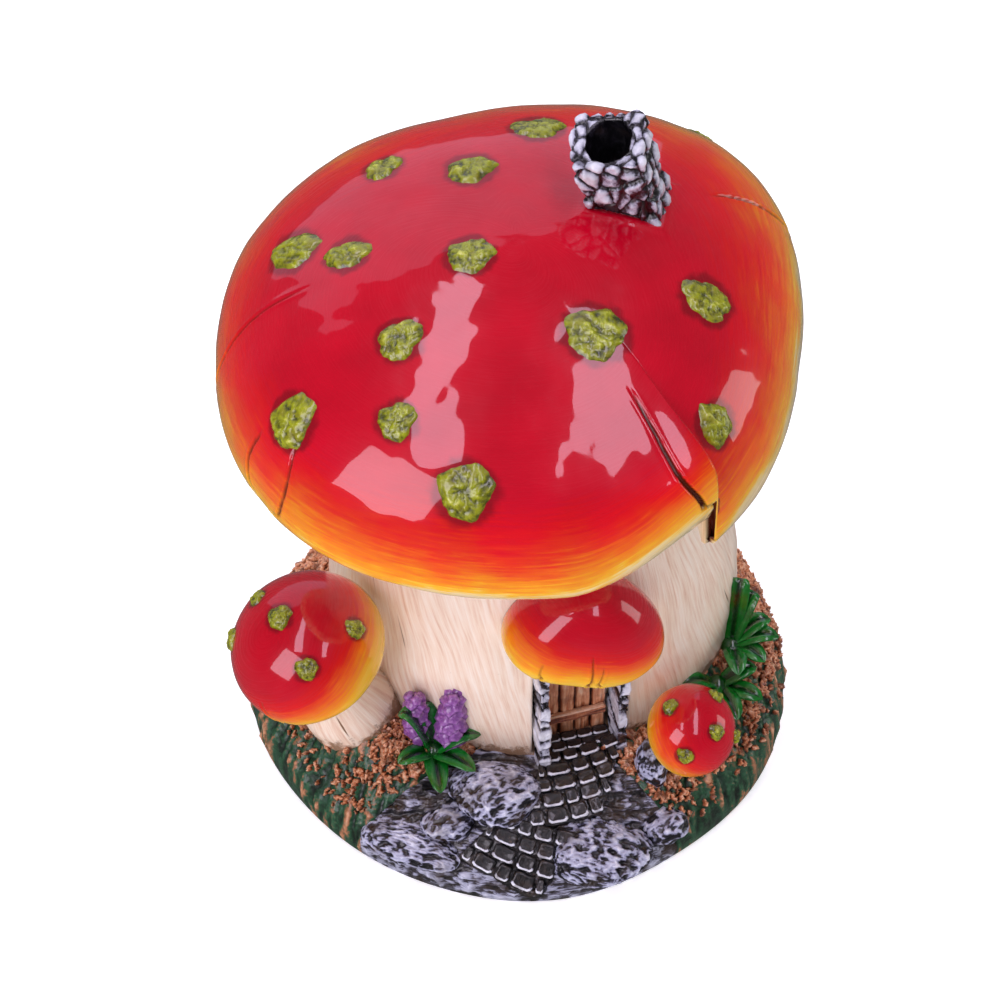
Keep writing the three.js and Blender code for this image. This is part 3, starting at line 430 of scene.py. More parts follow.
@dataclass(frozen=True)
class CombedPaint(Finish):
    """Cream paint over resin that was combed while soft.

    The attribute "comb" is the way of the comb in its own pitches, and "foot" how much of the ground's
    stain there is.
    """

    def paint(self, tree: Tree, place: Socket) -> Painted:
        """Lays out the combed strands, the brown ticks between them and the stained foot."""
        node = partial(add, tree)
        comb = node("ShaderNodeAttribute", {"attribute_name": "comb"}, {}, "Vector")
        foot = node("ShaderNodeAttribute", {"attribute_name": "foot"}, {}, "Fac")
        strand = node("ShaderNodeTexNoise", {"Scale": 1.0, "Detail": 4.0, "Roughness": 0.6}, {"Vector": comb})
        cloud = node("ShaderNodeTexNoise", {"Scale": 1 / (self.patch * MM), "Detail": 3.0}, {"Vector": place})
        spot = node("ShaderNodeMath", {"operation": "MULTIPLY_ADD", 1: self.ragged}, {0: cloud, 2: strand})
        tone = node("ShaderNodeValToRGB", {"stops": self.tones}, {"Fac": spot})
        nick = node("ShaderNodeTexNoise", {"Scale": 0.3, "Detail": 2.0, "Roughness": 0.8}, {"Vector": comb})
        tick = node("ShaderNodeMapRange", {"From Min": 0.7, "From Max": 0.74}, {"Value": nick})
        grit = node(
            "ShaderNodeTexNoise",
            {"Scale": 1 / (self.grit * MM), "Detail": 4.0, "Roughness": 0.7},
            {"Vector": place},
        )
        ragged = node("ShaderNodeMath", {"operation": "MULTIPLY_ADD", 1: 1.8, 2: -0.9}, {0: grit})
        reach = node("ShaderNodeMath", {"operation": "ADD"}, {0: foot, 1: ragged})
        stained = node(
            "ShaderNodeMapRange", {"From Min": 0.35, "From Max": 0.7, "To Max": self.stain_share},
            {"Value": reach},
        )
        marked = node("ShaderNodeMath", {"operation": "MAXIMUM"}, {0: tick, 1: stained})
        colour = node("ShaderNodeMix", {"data_type": "RGBA", 7: linear(self.stain_and_shade)}, {0: marked, 6: tone}, 2)
        height = node("ShaderNodeMath", {"operation": "MULTIPLY_ADD", 1: -0.6}, {0: tick, 2: strand})
        return colour, height, grit


LACQUER_GLOSS = Gloss(low=0.2, high=0.34, coat=1.0, coat_roughness=0.035, specular=0.12)
TURF_GLOSS = Gloss(low=0.3, high=0.5, coat=0.4, coat_roughness=0.2)
ROCK_GLOSS = Gloss(low=0.26, high=0.5, coat=0.55, coat_roughness=0.15)


class Paints:
    """The ornament's finishes. Pitches and bumps are in millimetres."""

    # Polyester lacquer over cast resin, brushed on wet: a deep gloss with faint strokes; its dark brown is
    # painted shade in the splits and along the seam with the trunk
    CAP = CapLacquer(
        "cap_brushed_lacquer", "cap_lacquer", CAP_TONES, stain_and_shade="#5C200C", bump=0.015, gloss=LACQUER_GLOSS
    )
    # The same lacquer with the narrower brush of the small caps; its brown is painted shade in the splits and
    # along the seam with the trunk
    SMALL_CAP = CapLacquer(
        "small_cap_brushed_lacquer", "cap_lacquer", SMALL_CAP_TONES, stain_and_shade="#8A4420", bump=0.006,
        gloss=LACQUER_GLOSS, band=16.0, wander=2.2, streak=2.2,
    )
    # Acrylic over combed resin: fine cream strands with few brown ticks under a satin varnish
    TRUNK = CombedPaint(
        "trunk_combed_cream", "trunk_cream",
        ((0.28, "#DBB08F"), (0.44, "#ECCEB3"), (0.56, "#F5DFC6"), (0.75, "#FBEDDA")),
        stain_and_shade="#8E6440", stain_share=0.85, patch=16.0, grit=2.4, ragged=0.12, bump=0.3,
        gloss=Gloss(low=0.3, high=0.45, coat=0.5, coat_roughness=0.2),
    )
    # Acrylic on the cast gills: flat cream, with a darker painted shade between the blades
    GILLS = Finish(
        "gill_flat_cream", "gill_cream", ((0.0, "#8C6B4C"), (0.4, "#D9B98F"), (1.0, "#F0DDBD")),
        stain_and_shade="#B58A5E", patch=9.0,
    )
    # Acrylic over crumbed resin: solid yellow-green with olive pits under gloss varnish
    MOSS = Finish(
        "moss_crumbed_olive", "moss_spot",
        ((0.05, "#343602"), (0.25, "#5A6002"), (0.5, "#8A9000"), (0.8, "#A4AC0C"), (1.0, "#CCD04C")),
        stain_and_shade="#7A6C1C", stain_share=0.4, patch=4.0, grit=1.0, ragged=0.42, bump=0.35,
        gloss=Gloss(low=0.16, high=0.34, coat=0.9, coat_roughness=0.08),
    )
    # Acrylic over modelled turf: deep green with dry-brushed terracotta crests
    BANK = Finish(
        "bank_drybrushed_turf", "bank_moss",
        ((0.1, "#0C1E11"), (0.38, "#1B4A2B"), (0.54, "#2C6440"), (0.62, "#7A5C3C"), (0.78, "#B5764C"),
         (1.0, "#DCA67C")),
        stain_and_shade="#245238", stain_share=0.5, patch=8.0, grit=1.3, ragged=0.5, bump=0.45, gloss=TURF_GLOSS,
    )
    # Black resin dry-brushed with lavender white: only the crests catch the pale paint, and upward faces are
    # a little paler with painted light
    ROCK = Finish(
        "rock_drybrushed_charcoal", "rock",
        ((0.34, "#100F15"), (0.46, "#2E2B35"), (0.53, "#66667E"), (0.62, "#A3A6C0"), (0.85, "#C6CADF"),
         (1.0, "#E4E7F4")),
        stain_and_shade="#46341F", stain_share=0.55, patch=8.0, grit=3.0, ragged=0.4, bump=0.4, gloss=ROCK_GLOSS,
        stretch=(1.0, 1.6, 1.6), swirl=1.2,
    )
    # The same dry-brushing on bare ground: mostly black and brown, with strokes along the front edge
    LEDGE = Finish(
        "ledge_drybrushed_charcoal", "rock",
        ((0.36, "#100E13"), (0.5, "#2C2622"), (0.6, "#54505E"), (0.67, "#9DA0B6"), (1.0, "#D4D7E8")),
        stain_and_shade="#3A2A1E", stain_share=0.85, patch=6.0, grit=2.4, ragged=0.7, bump=0.5, gloss=ROCK_GLOSS,
        stretch=(0.3, 1.4, 2.8), swirl=0.8,
    )
    # Chalky lavender white brushed over black stones: pale faces and black joints
    CHIMNEY = Finish(
        "chimney_drybrushed_stone", "chimney_stone",
        ((0.12, "#08070B"), (0.26, "#2E2B34"), (0.36, "#9A9AAB"), (0.52, "#CFD1DD"), (1.0, "#F1F2F8")),
        stain_and_shade="#4A3A34", stain_share=0.2, patch=5.0, ragged=0.24, bump=0.25,
        gloss=Gloss(low=0.22, high=0.4, coat=0.7, coat_roughness=0.1), swirl=0.8,
    )
    # Black and brown bricks with one pale stroke of the brush along each front edge
    BRICK = Finish(
        "brick_edged_black", "brick",
        ((0.2, "#0A090C"), (0.4, "#1C1615"), (0.52, "#483A30"), (0.64, "#64626F"), (0.72, "#C0C4D6"),
         (1.0, "#F0F3FA")),
        stain_and_shade="#3A2A1E", stain_share=0.5, patch=4.0, grit=1.6, ragged=0.6, bump=0.35,
        gloss=Gloss(low=0.25, high=0.45, coat=0.6, coat_roughness=0.12), swirl=1.0,
    )
    # Wood stain over carved boards: light ridges and nearly black grooves
    DOOR = Finish(
        "door_stained_boards", "door_wood",
        ((0.12, "#2A140C"), (0.32, "#80432A"), (0.52, "#B46A45"), (0.8, "#DB9C74"), (1.0, "#EEC6A2")),
        stain_and_shade="#5A2E1B", stain_share=0.35, patch=5.0, grit=0.6, ragged=0.22, bump=0.2,
        gloss=Gloss(low=0.3, high=0.45, coat=0.5, coat_roughness=0.15), stretch=(1.0, 1.0, 0.2),
    )
    # Gloss enamel on the leaves: deep green, paler along the rib, with painted light on the upper faces and
    # painted shade on the undersides and down the middle groove
    LEAF = Finish(
        "leaf_glossy_green", "leaf", ((0.1, "#012405"), (0.4, "#04530F"), (0.7, "#0C7620"), (1.0, "#46A052")),
        stain_and_shade="#063A0C", stain_share=0.4, patch=5.0, grit=0.9, ragged=0.2, bump=0.15,
        gloss=Gloss(low=0.16, high=0.3, coat=0.8, coat_roughness=0.08),
    )
    # Gloss enamel on the florets: violet, with painted shade between the buds
    FLOWER = Finish(
        "floret_violet_paint", "flower",
        ((0.1, "#3A1F48"), (0.35, "#723A80"), (0.65, "#8F52A0"), (1.0, "#C08ACB")),
        stain_and_shade="#5A4468", patch=3.0, grit=0.7, ragged=0.24, bump=0.15,
        gloss=Gloss(low=0.22, high=0.4, coat=0.8, coat_roughness=0.1),
    )
    # Acrylic over bark flakes: terracotta, paler on the crests, with painted shade on their lower sides
    CHIP = Finish(
        "bark_chip_terracotta", "bank_moss",
        ((0.1, "#3C2214"), (0.36, "#8C4A2A"), (0.6, "#BE7046"), (0.82, "#E09C70"), (1.0, "#F0C49E")),
        stain_and_shade="#6A3C24", stain_share=0.8, patch=3.5, grit=1.4, ragged=0.55, bump=0.4, gloss=TURF_GLOSS,
    )
    # Cast resin, unpainted: dark and slightly clouded
    PLATE = Finish(
        "plate_cast_resin", "plate", ((0.0, "#1C1A18"), (0.5, "#2A2826"), (1.0, "#3A3734")),
        stain_and_shade="#201C18", patch=8.0, grit=0.6,
    )


# Meshes

@dataclass
class Skin:
    """A closed skin over a grid of points: rows run along the profile, and columns run round it."""

    points: Array
    ring: bool = True
    tones: dict[str, Array] = field(default_factory=dict)

    def normals(self) -> Array:
        """Gives the outward unit normal at each point."""
        rows = self.points
        down = np.gradient(rows, axis=0) if self.ring else np.roll(rows, -1, 0) - np.roll(rows, 1, 0)
        along = np.roll(rows, -1, 1) - np.roll(rows, 1, 1) if self.ring else np.gradient(rows, axis=1)
        across = np.cross(down, along)
        if np.sum(across * (rows - rows.mean((0, 1)))) < 0:
            across = -across
        return across / np.maximum(np.linalg.norm(across, axis=-1, keepdims=True), 1e-9)

    def raise_by(self, amount: Array) -> None:
        """Moves every point outwards by its amount in millimetres."""
        self.points = self.points + self.normals() * amount[..., None]

    def part(self) -> "Part":
        """Gives the skin's points, faces and attributes, with its ends closed."""
        rows, columns = self.points.shape[:2]
        index = np.arange(rows * columns).reshape(rows, columns)
        lower, upper = (index[:-1], index[1:]) if self.ring else (index, np.roll(index, -1, 0))
        if self.ring:
            quads = np.stack([lower, np.roll(lower, -1, 1), np.roll(upper, -1, 1), upper], -1)
        else:
            quads = np.stack([lower[:, :-1], lower[:, 1:], upper[:, 1:], upper[:, :-1]], -1)
        faces = quads.reshape(-1, 4).tolist()
        ends = (index[0][::-1], index[-1]) if self.ring else (index[:, 0], index[::-1, -1])
        points = self.points.reshape(-1, 3)
        extra = []
        for end in ends:
            hub = len(points) + len(extra)
            extra.append(points[end].mean(0))
            faces += [[hub, int(a), int(b)] for a, b in zip(end, np.roll(end, -1))]
        tones = {}
        for key, values in self.tones.items():
            flat = values.reshape(len(points), -1)
            tones[key] = np.vstack([flat, *[flat[end].mean(0) for end in ends]])
        return Part(np.vstack([points, *extra]), faces, tones)

    def piece(
        self, name: str, finish: Finish, nodes: Sequence[str], place: Matrix | None = None
    ) -> Thing:
        """Makes the skin a finished piece.

        Args:
            name: the piece's name.
            finish: how it is painted.
            nodes: the solids that it stands for.
            place: where its own space lies, if it has one.

        Returns:
            The piece.
        """
        if place is not None:
            self.points = placed(self.points, place)
        return self.part().piece(name, finish, nodes)


@dataclass
class Part:
    """A closed form: its points in millimetres, its faces, and its attributes for each point."""

    points: Array
    faces: list[list[int]]
    tones: dict[str, Array]

    def mesh(self, name: str) -> bpy.types.Mesh:
        """Gives the form as a mesh in metres."""
        mesh = bpy.data.meshes.new(name)
        mesh.from_pydata((self.points * MM).tolist(), [], self.faces)
        for key, values in self.tones.items():
            flat = np.asarray(values, float).reshape(len(self.points), -1)
            kind, member = ("FLOAT", "value") if flat.shape[1] == 1 else ("FLOAT_VECTOR", "vector")
            mesh.attributes.new(key, kind, "POINT").data.foreach_set(member, flat.ravel())
        return mesh

    def piece(self, name: str, finish: Finish, nodes: Sequence[str]) -> Thing:
        """Makes the form a finished piece that stands for some solids."""
        return dressed(name, self.mesh(name), finish, nodes)


def gathered(parts: Sequence[Part]) -> Part:
    """Gives several forms as one."""
    faces: list[list[int]] = []
    start = 0
    for part in parts:
        faces += [[corner + start for corner in face] for face in part.faces]
        start += len(part.points)
    tones = {key: np.concatenate([part.tones[key] for part in parts]) for key in parts[0].tones}
    return Part(np.concatenate([part.points for part in parts]), faces, tones)


def shown(name: str, data: bpy.types.ID) -> Thing:
    """Puts a mesh, a light or a camera in the scene."""
    made = bpy.data.objects.new(name, data)
    bpy.context.scene.collection.objects.link(made)
    return made


def dressed(name: str, mesh: bpy.types.Mesh, finish: Finish, nodes: Sequence[str]) -> Thing:
    """Puts a mesh in the scene with its paint and its body, and hides the solids that it stands for."""
    shape = bmesh.new()
    shape.from_mesh(mesh)
    bmesh.ops.recalc_face_normals(shape, faces=shape.faces)
    for face in shape.faces:
        face.smooth = True
    shape.to_mesh(mesh)
    shape.free()
    mesh.materials.clear()
    mesh.materials.append(finish.material())
    made = shown(name, mesh)
    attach(made, "root")
    if nodes:
        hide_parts(*nodes)
    LOG.info("%s: %d faces", name, len(mesh.polygons))
    return made


def leveled(values: Array, low: float, high: float) -> Array:
    """Gives values as shares between a low and a high one."""
    return np.clip((values - low) / (high - low), 0, 1)


# Trunk and ground

@dataclass(frozen=True)
class TrunkShape:
    """The trunk's oval body."""

    x: float = 4.5
    y: float = 16.0
    foot_radius: float = 58.0
    belly_radius: float = 60.5
    belly_height: float = 44.0
    neck_radius: float = 48.0
    shoulder: float = 141.0
    flatness: float = 0.92

    def radius(self, height: Any) -> Array:
        """Gives the trunk's radius at a height."""
        above = (height - self.belly_height) / (self.shoulder - self.belly_height)
        upper = mix(self.belly_radius, self.neck_radius, smooth(above))
        lower = mix(self.belly_radius, self.foot_radius, smooth(1 - height / self.belly_height))
        return np.where(above > 0, upper, lower)

    def reach(self, bearing: Any, height: Any) -> Array:
        """Gives how far the trunk's surface is from its axis."""
        way = toward(bearing)
        return self.radius(height) / np.hypot(way[..., 0], way[..., 1] / self.flatness)

    def place(self) -> Matrix:
        """Gives the place of the trunk's axis."""
        return standing_at((self.x, self.y, 0))

    def clearance(self, points: Array) -> Array:
        """Gives how far points are outside the trunk's surface."""
        run, rise = points[..., 0] - self.x, points[..., 1] - self.y
        return np.hypot(run, rise) - self.reach(np.degrees(np.arctan2(run, -rise)), points[..., 2])


TRUNK = TrunkShape()


@dataclass(frozen=True)
class Heap:
    """The heap of turf round the left toadstool."""

    bearing: float = -52.0
    share: float = 0.42
    over_bearing: float = 28.0
    over_share: float = 0.5
    height: float = 8.0

    def lift(self, bearing: Any, share: Any) -> Array:
        """Gives how much the heap adds to the ground's height."""
        aside = signed(bearing - self.bearing)
        away = np.hypot(aside / self.over_bearing, (share - self.share) / self.over_share)
        return self.height * smooth(1 - away)


@dataclass(frozen=True)
class BarkRibs:
    """Ribs of bark that run out from the trunk over the banks."""

    count: int = 26
    drift: float = 1.4
    begin: float = 34.0
    full: float = 62.0
    height: float = 1.3

    def lift(self, bearing: Any, share: Any) -> Array:
        """Gives the height of the ribs."""
        from_front = np.abs(signed(np.asarray(bearing, float)))
        strength = smooth((from_front - self.begin) / (self.full - self.begin))
        return self.height * strength * np.cos(np.radians(self.count * bearing + 360 * self.drift * share))


@dataclass(frozen=True)
class GroundShape:
    """The mound that everything stands on. A share is 0 at the trunk and 1 at the outer edge."""

    width: float = 157.0
    depth: float = 148.0
    edge: float = 8.0
    crown: float = 27.0
    bank: float = 9.0
    fullness: float = 0.8
    outline: tuple[Wave, ...] = (
        Wave(1, 0.03, 180), Wave(2, 0.008, 60), Wave(4, 0.014, 0), Wave(7, 0.004, 12),
    )
    mounds: float = 0.9
    mound_count: int = 9
    ribs: BarkRibs = BarkRibs()
    heap: Heap = Heap()
    skirt: tuple[Pair, ...] = ((1.008, 0.8), (1.012, 0.6), (1.005, 0.25), (0.98, 0.0))
    plate_share: float = 0.89
    plate_thickness: float = 4.3

    def reach(self, bearing: Any) -> Array:
        """Gives how far the outer edge is from the middle."""
        way = toward(bearing)
        oval = 1 / np.hypot(way[..., 0] / (self.width / 2), way[..., 1] / (self.depth / 2))
        return oval * (1 + waves(self.outline, bearing))

    def height(self, bearing: Any, share: Any) -> Array:
        """Gives the ground's height."""
        side = np.sin(np.radians(bearing)) ** 2
        slope = np.cos(np.clip(share, 0, 1) * math.pi / 2) ** self.fullness
        lumps = self.mounds * side * np.cos(np.radians(self.mound_count * bearing))
        lumps = lumps + self.ribs.lift(bearing, share)
        raised = lumps * np.sin(share * math.pi) + self.heap.lift(bearing, share)
        return mix(self.edge + self.bank * side, self.crown + self.bank * side, slope) + raised

    def point(self, bearing: Any, share: Any, lift: Any = 0.0) -> Array:
        """Gives a point over the ground."""
        bearing, share, lift = np.broadcast_arrays(
            np.asarray(bearing, float), np.asarray(share, float), np.asarray(lift, float)
        )
        inner = around(bearing, TRUNK.reach(bearing, self.crown), 0) + np.array([TRUNK.x, TRUNK.y, 0])
        outer = around(bearing, self.reach(bearing), 0)
        spot = mix(inner, outer, share[..., None])
        spot[..., 2] = self.height(bearing, share) + lift
        return spot

    def beside_trunk(self, bearing: float, gap: float, lift: float = 0.0) -> Array:
        """Gives a point over the ground at a gap from the trunk's belly."""
        inner, outer = self.point(bearing, [0.0, 1.0])
        belly = TRUNK.reach(bearing, TRUNK.belly_height) - TRUNK.reach(bearing, self.crown)
        return self.point(bearing, (float(belly) + gap) / math.dist(inner[:2], outer[:2]), lift)


GROUND = GroundShape()


@dataclass
class Trunk:
    """The cream trunk with its combed fibres and its doorway."""

    shape: TrunkShape = TRUNK
    columns: int = 440
    rows: int = 180
    foot: float = 4.3
    door_bearing: float = 14.0
    door_half: float = 13.5
    door_low: float = 28.2
    door_high: float = 78.0
    door_back: float = 45.3
    fibre: float = 1.0
    fibre_length: float = 16.0
    slant: float = 0.42
    lean: float = -0.1
    wander: float = 3.0
    wander_pitch: float = 40.0
    ridge: float = 3.4
    ridge_relief: float = 0.22
    lump: float = 22.0
    lump_relief: float = 0.5
    stain_height: float = 3.0
    stain_unevenness: float = 2.5

    def build(self) -> None:
        """Builds the trunk."""
        height, bearing = grid(
            np.linspace(self.foot, self.shape.shoulder, self.rows), full_turn(self.columns)
        )
        points = around(bearing, self.shape.reach(bearing, height), height)
        comb = self.comb(points, bearing, height)
        ridges = grain(comb * np.array([self.fibre / self.ridge, self.fibre / self.ridge, 0.6]), 1.0, 2)
        skin = Skin(points)
        skin.raise_by(self.ridge_relief * ridges + self.lump_relief * grain(points, self.lump, 2))
        across = skin.points @ toward(self.door_bearing + 90)
        inward = skin.points @ toward(self.door_bearing)
        is_door = (np.abs(across) < self.door_half) & (inward > 0)
        is_door &= (height > self.door_low) & (height < self.door_high)
        push = np.where(is_door, self.door_back - inward, 0)
        skin.points = skin.points + toward(self.door_bearing) * push[..., None]
        above = height - GROUND.height(bearing, 0.0) - self.stain_unevenness * grain(points, 8.0, 2, 6.0)
        skin.tones["comb"] = comb
        skin.tones["foot"] = leveled(2 * self.stain_height - above, 0.0, 2 * self.stain_height)
        skin.piece("trunk_shell", Paints.TRUNK, ["trunk"], self.shape.place())

    def comb(self, points: Array, bearing: Array, height: Array) -> Array:
        """Gives the way of the comb at points of the trunk, in pitches of its fibres."""
        way = self.slant * np.sin(np.radians(1.5 * bearing - 30)) + self.lean
        drift = way * (height - self.shape.belly_height)
        combed = bearing + drift + self.wander * grain(points, self.wander_pitch, 2)
        return around(combed, self.shape.belly_radius / self.fibre, height / self.fibre_length)


@dataclass
class Ground:
    """The turf banks and the bare rock ledge between them."""

    shape: GroundShape = GROUND
    apex: Pair = (9.0, -26.0)
    ledge: Pair = (-61.0, 50.0)
    rows: int = 110
    bank_columns: int = 560
    ledge_columns: int = 300
    inner: float = -0.15
    last_shown: float = 1.25
    stroke: Pair = (34.0, 3.2)
    clump: float = 9.0
    crumb: float = 1.8
    collar: float = 1.6
    collar_share: float = 0.05
    fold: float = 6.0
    fold_relief: float = 0.9
    grit: float = 2.0
    grit_relief: float = 0.5

    def border(self, share: Array, side: float) -> Array:
        """Gives the bearing where the ledge's border crosses the ground, for each share."""
        trial = np.linspace(side - 50, side + 50, 2001)
        spots = self.shape.point(trial[None, :], share[:, None])
        run = spots[..., 0] - self.apex[0]
        rise = spots[..., 1] - self.apex[1]
        miss = np.abs(signed(np.degrees(np.arctan2(run, -rise)) - side))
        return trial[np.argmin(miss, axis=1)]

    def section(
        self, first: Array, last: Array, share: Array, columns: int
    ) -> tuple[Array, Array, Array]:
        """Gives the closed grid of one sector of the ground.

        Args:
            first: bearing of the sector's first column, for each share.
            last: bearing of its last column.
            share: the shares of the rows on top.
            columns: how many columns there are.

        Returns:
            The points, their bearings, and the share of each row, which goes past 1 down the skirt.
        """
        along = np.linspace(0, 1, columns)[None, :]
        top_bearing = mix(first[:, None], last[:, None], along)
        top = self.shape.point(top_bearing, share[:, None])
        edge = top_bearing[-1]
        reach = self.shape.reach(edge)
        below = [
            around(edge, reach * reach_share, self.shape.height(edge, 1.0) * height_share)
            for reach_share, height_share in self.shape.skirt
        ]
        below += [
            around(edge, reach * self.shape.plate_share, level) for level in (0.0, self.shape.plate_thickness)
        ]
        points = np.concatenate([top, np.array(below)])
        bearing = np.concatenate([top_bearing, np.repeat(edge[None, :], len(below), 0)])
        level = np.concatenate([share, 1 + 0.1 * np.arange(1, len(below) + 1)])
        return points, bearing, level

    def build(self) -> None:
        """Builds both sectors."""
        share = np.linspace(self.inner, 1, self.rows)
        left = self.border(share, self.ledge[0])
        right = self.border(share, self.ledge[1])
        self.turf(*self.section(right, left + 360, share, self.bank_columns))
        points, _, level = self.section(left, right, share, self.ledge_columns)
        self.rock(points, level)

    def turf(self, points: Array, bearing: Array, level: Array) -> None:
        """Gives the banks their raised strokes of bark and litter."""
        on_top = (level <= self.last_shown)[:, None]
        strokes_round, strokes_out = self.stroke
        strokes = grain(around(bearing, strokes_round, level[:, None] * strokes_out), 1.0, 3)
        clumps = grain(points, self.clump, 2, 3.0)
        crumbs = grain(points, self.crumb, 2, 9.0)
        mass = strokes * (0.6 + 0.8 * leveled(clumps, -0.4, 0.5)) + 0.35 * crumbs + 0.4 * clumps
        beside_trunk = np.exp(-((level[:, None] / self.collar_share) ** 2))
        collar = self.collar * beside_trunk * leveled(crumbs + clumps, -0.5, 0.6)
        skin = Skin(points, ring=False)
        skin.raise_by(np.where(on_top, mass + collar, 0))
        skin.tones["high"] = leveled(mass, -0.75, 0.95)
        skin.piece("turf_banks", Paints.BANK, ["ground_bank"])

    def rock(self, points: Array, level: Array) -> None:
        """Gives the ledge its broken strata."""
        on_top = (level <= self.last_shown)[:, None]
        folds = grain(points * np.array([0.5, 1.4, 1.6]), self.fold, 3, 2.0)
        grit = grain(points * np.array([0.6, 1.2, 1.2]), self.grit, 3, 4.0)
        crest = 1 - 2 * np.abs(folds)
        front = leveled(level[:, None], 0.86, 1.0)
        skin = Skin(points, ring=False)
        skin.raise_by(np.where(on_top, self.fold_relief * crest + self.grit_relief * grit - 0.5, 0))
        skin.tones["high"] = leveled(0.5 * crest + 0.45 * grit + 0.25 * front, -0.5, 1.1)
        skin.piece("rock_shelf", Paints.LEDGE, ["rock_ledge"])


# Caps

@dataclass(frozen=True)
class Split:
    """A split that runs from under the rim up into a cap's skin."""

    start: float
    end: float
    top: float
    width: float
    depth: float
    foot: float = 150.0

    def depth_at(self, shape: "CapShape", bearing: Array, polar: Array) -> Array:
        """Gives how deep the split is at points of a cap's skin, and a raised lip beside it as a negative."""
        along = (self.foot - polar) / (self.foot - self.top)
        held = np.clip(along, 0, 1)
        middle = mix(self.start, self.end, held) + 1.6 * np.sin(held * 9.0 + self.start)
        away = signed(bearing - middle)
        radius, _ = shape.profile(polar)
        across = np.abs(np.radians(away) * radius)
        half = self.width / 4 * (1 - 0.8 * held) + 0.3
        depth = self.depth * (1 - 0.7 * held)
        fade = smooth(leveled(along, -0.15, 0.0)) * smooth(leveled(1.06 - along, 0.0, 0.08))
        groove = depth * np.clip(1 - across / half, 0, 1) ** 0.45
        lip = 0.12 * np.exp(-(((across - half - 0.6) / 0.6) ** 2))
        return (groove - lip) * fade


@dataclass(frozen=True)
class Lobe:
    """The rise of the rim beside the main split."""

    bearing: float
    spread: float
    lift: float


@dataclass(frozen=True)
class CapShape:
    """A mushroom cap: a dome over a widest line, and a lip that rolls under."""

    radius: float
    dome: float
    fullness: float
    lip_drop: float
    lip_tuck: float
    recess: float
    outline: tuple[Wave, ...]
    lobe: Lobe | None = None
    first_polar: float = 0.4
    fine_steps: int = 2400

    def profile(self, polar: Any, grow: Any = 0.0) -> tuple[Array, Array]:
        """Gives the radius and height at a polar angle: 0 is the top and 90 the widest line."""
        angle = np.radians(np.asarray(polar, float))
        power = 2 / self.fullness
        over_radius = (self.radius + grow) * np.abs(np.sin(angle)) ** power
        over_height = (self.dome + grow) * np.clip(np.cos(angle), 0, None) ** power
        roll = angle - math.pi / 2
        under_radius = self.radius + grow - (self.lip_tuck + grow) * (1 - np.cos(roll))
        under_height = -(self.lip_drop + grow) * np.sin(roll)
        is_over = np.asarray(polar) <= 90
        return np.where(is_over, over_radius, under_radius), np.where(is_over, over_height, under_height)

    def shaped(self, bearing: Any, radius: Any, height: Any) -> Array:
        """Gives the points of a round cap moved to its real outline."""
        share = radius / self.radius
        rise = 0.0
        if self.lobe:
            along = 1 - (self.lobe.bearing - signed(np.asarray(bearing))) / self.lobe.spread
            rise = np.where((along > 0) & (along <= 1), self.lobe.lift * smooth(along), 0) * share ** 8
        return around(bearing, radius * (1 + waves(self.outline, bearing) * share), height + rise)

    def point(self, bearing: Any, polar: Any, grow: Any = 0.0) -> Array:
        """Gives points on the cap's skin, or above it."""
        radius, height = self.profile(polar, grow)
        bearing, radius, height = np.broadcast_arrays(np.asarray(bearing, float), radius, height)
        return self.shaped(bearing, radius, height)

    def measured(self) -> tuple[Array, Array]:
        """Gives polar angles in fine steps, and how far down the skin from the top each one is."""
        fine = np.linspace(self.first_polar, 180, self.fine_steps)
        radius, height = self.profile(fine)
        return fine, np.concatenate([[0], np.cumsum(np.hypot(np.diff(radius), np.diff(height)))])

    def even_polars(self, rows: int) -> Array:
        """Gives polar angles at even distances along the skin, from the top to the inside of the lip."""
        fine, run = self.measured()
        return np.interp(np.linspace(0, run[-1], rows), run, fine)

    def rim_distance(self, polar: Array) -> Array:
        """Gives the distance along the skin up from the widest line, negative under it."""
        fine, run = self.measured()
        return np.interp(90, fine, run) - np.interp(polar, fine, run)


@dataclass(frozen=True)
class Patch:
    """A moss patch on a cap: where it is, and its size along the rim and up the dome."""

    bearing: float
    polar: float
    width: float
    length: float


@dataclass(frozen=True)
class EdgeBand:
    """A stretch of the rim where the orange reaches further up, or less far if it is negative."""

    bearing: float
    spread: float
    extra: float

    def at(self, bearing: Array) -> Array:
        """Gives how much further up the orange reaches at bearings."""
        return self.extra * np.exp(-((signed(bearing - self.bearing) / self.spread) ** 2))


@dataclass(frozen=True)
class Boss:
    """The low ridge of lacquer round the foot of the chimney."""

    bearing: float
    polar: float
    half: Pair
    turn: float
    rise: float = 0.8
    softness: float = 0.2

    def at(self, shape: CapShape, points: Array) -> Array:
        """Gives the height of the ridge at points of a cap's skin."""
        away = points - shape.point(self.bearing, self.polar)
        turn = math.radians(self.turn)
        along = away[..., 0] * math.cos(turn) + away[..., 1] * math.sin(turn)
        across = away[..., 1] * math.cos(turn) - away[..., 0] * math.sin(turn)
        frame_share = np.maximum(np.abs(along) / self.half[0], np.abs(across) / self.half[1])
        return self.rise * np.exp(-(((frame_share - 1.0) / self.softness) ** 2))


@dataclass(frozen=True)
class MossForm:
    """How every moss patch is modelled. Heights and pitches are in millimetres."""

    rings: int = 18
    segments: int = 72
    body: float = 1.5
    sink: float = 0.5
    relief: float = 0.45
    pit: float = 2.0
    pit_shift: float = 0.6
    crumb: float = 2.4


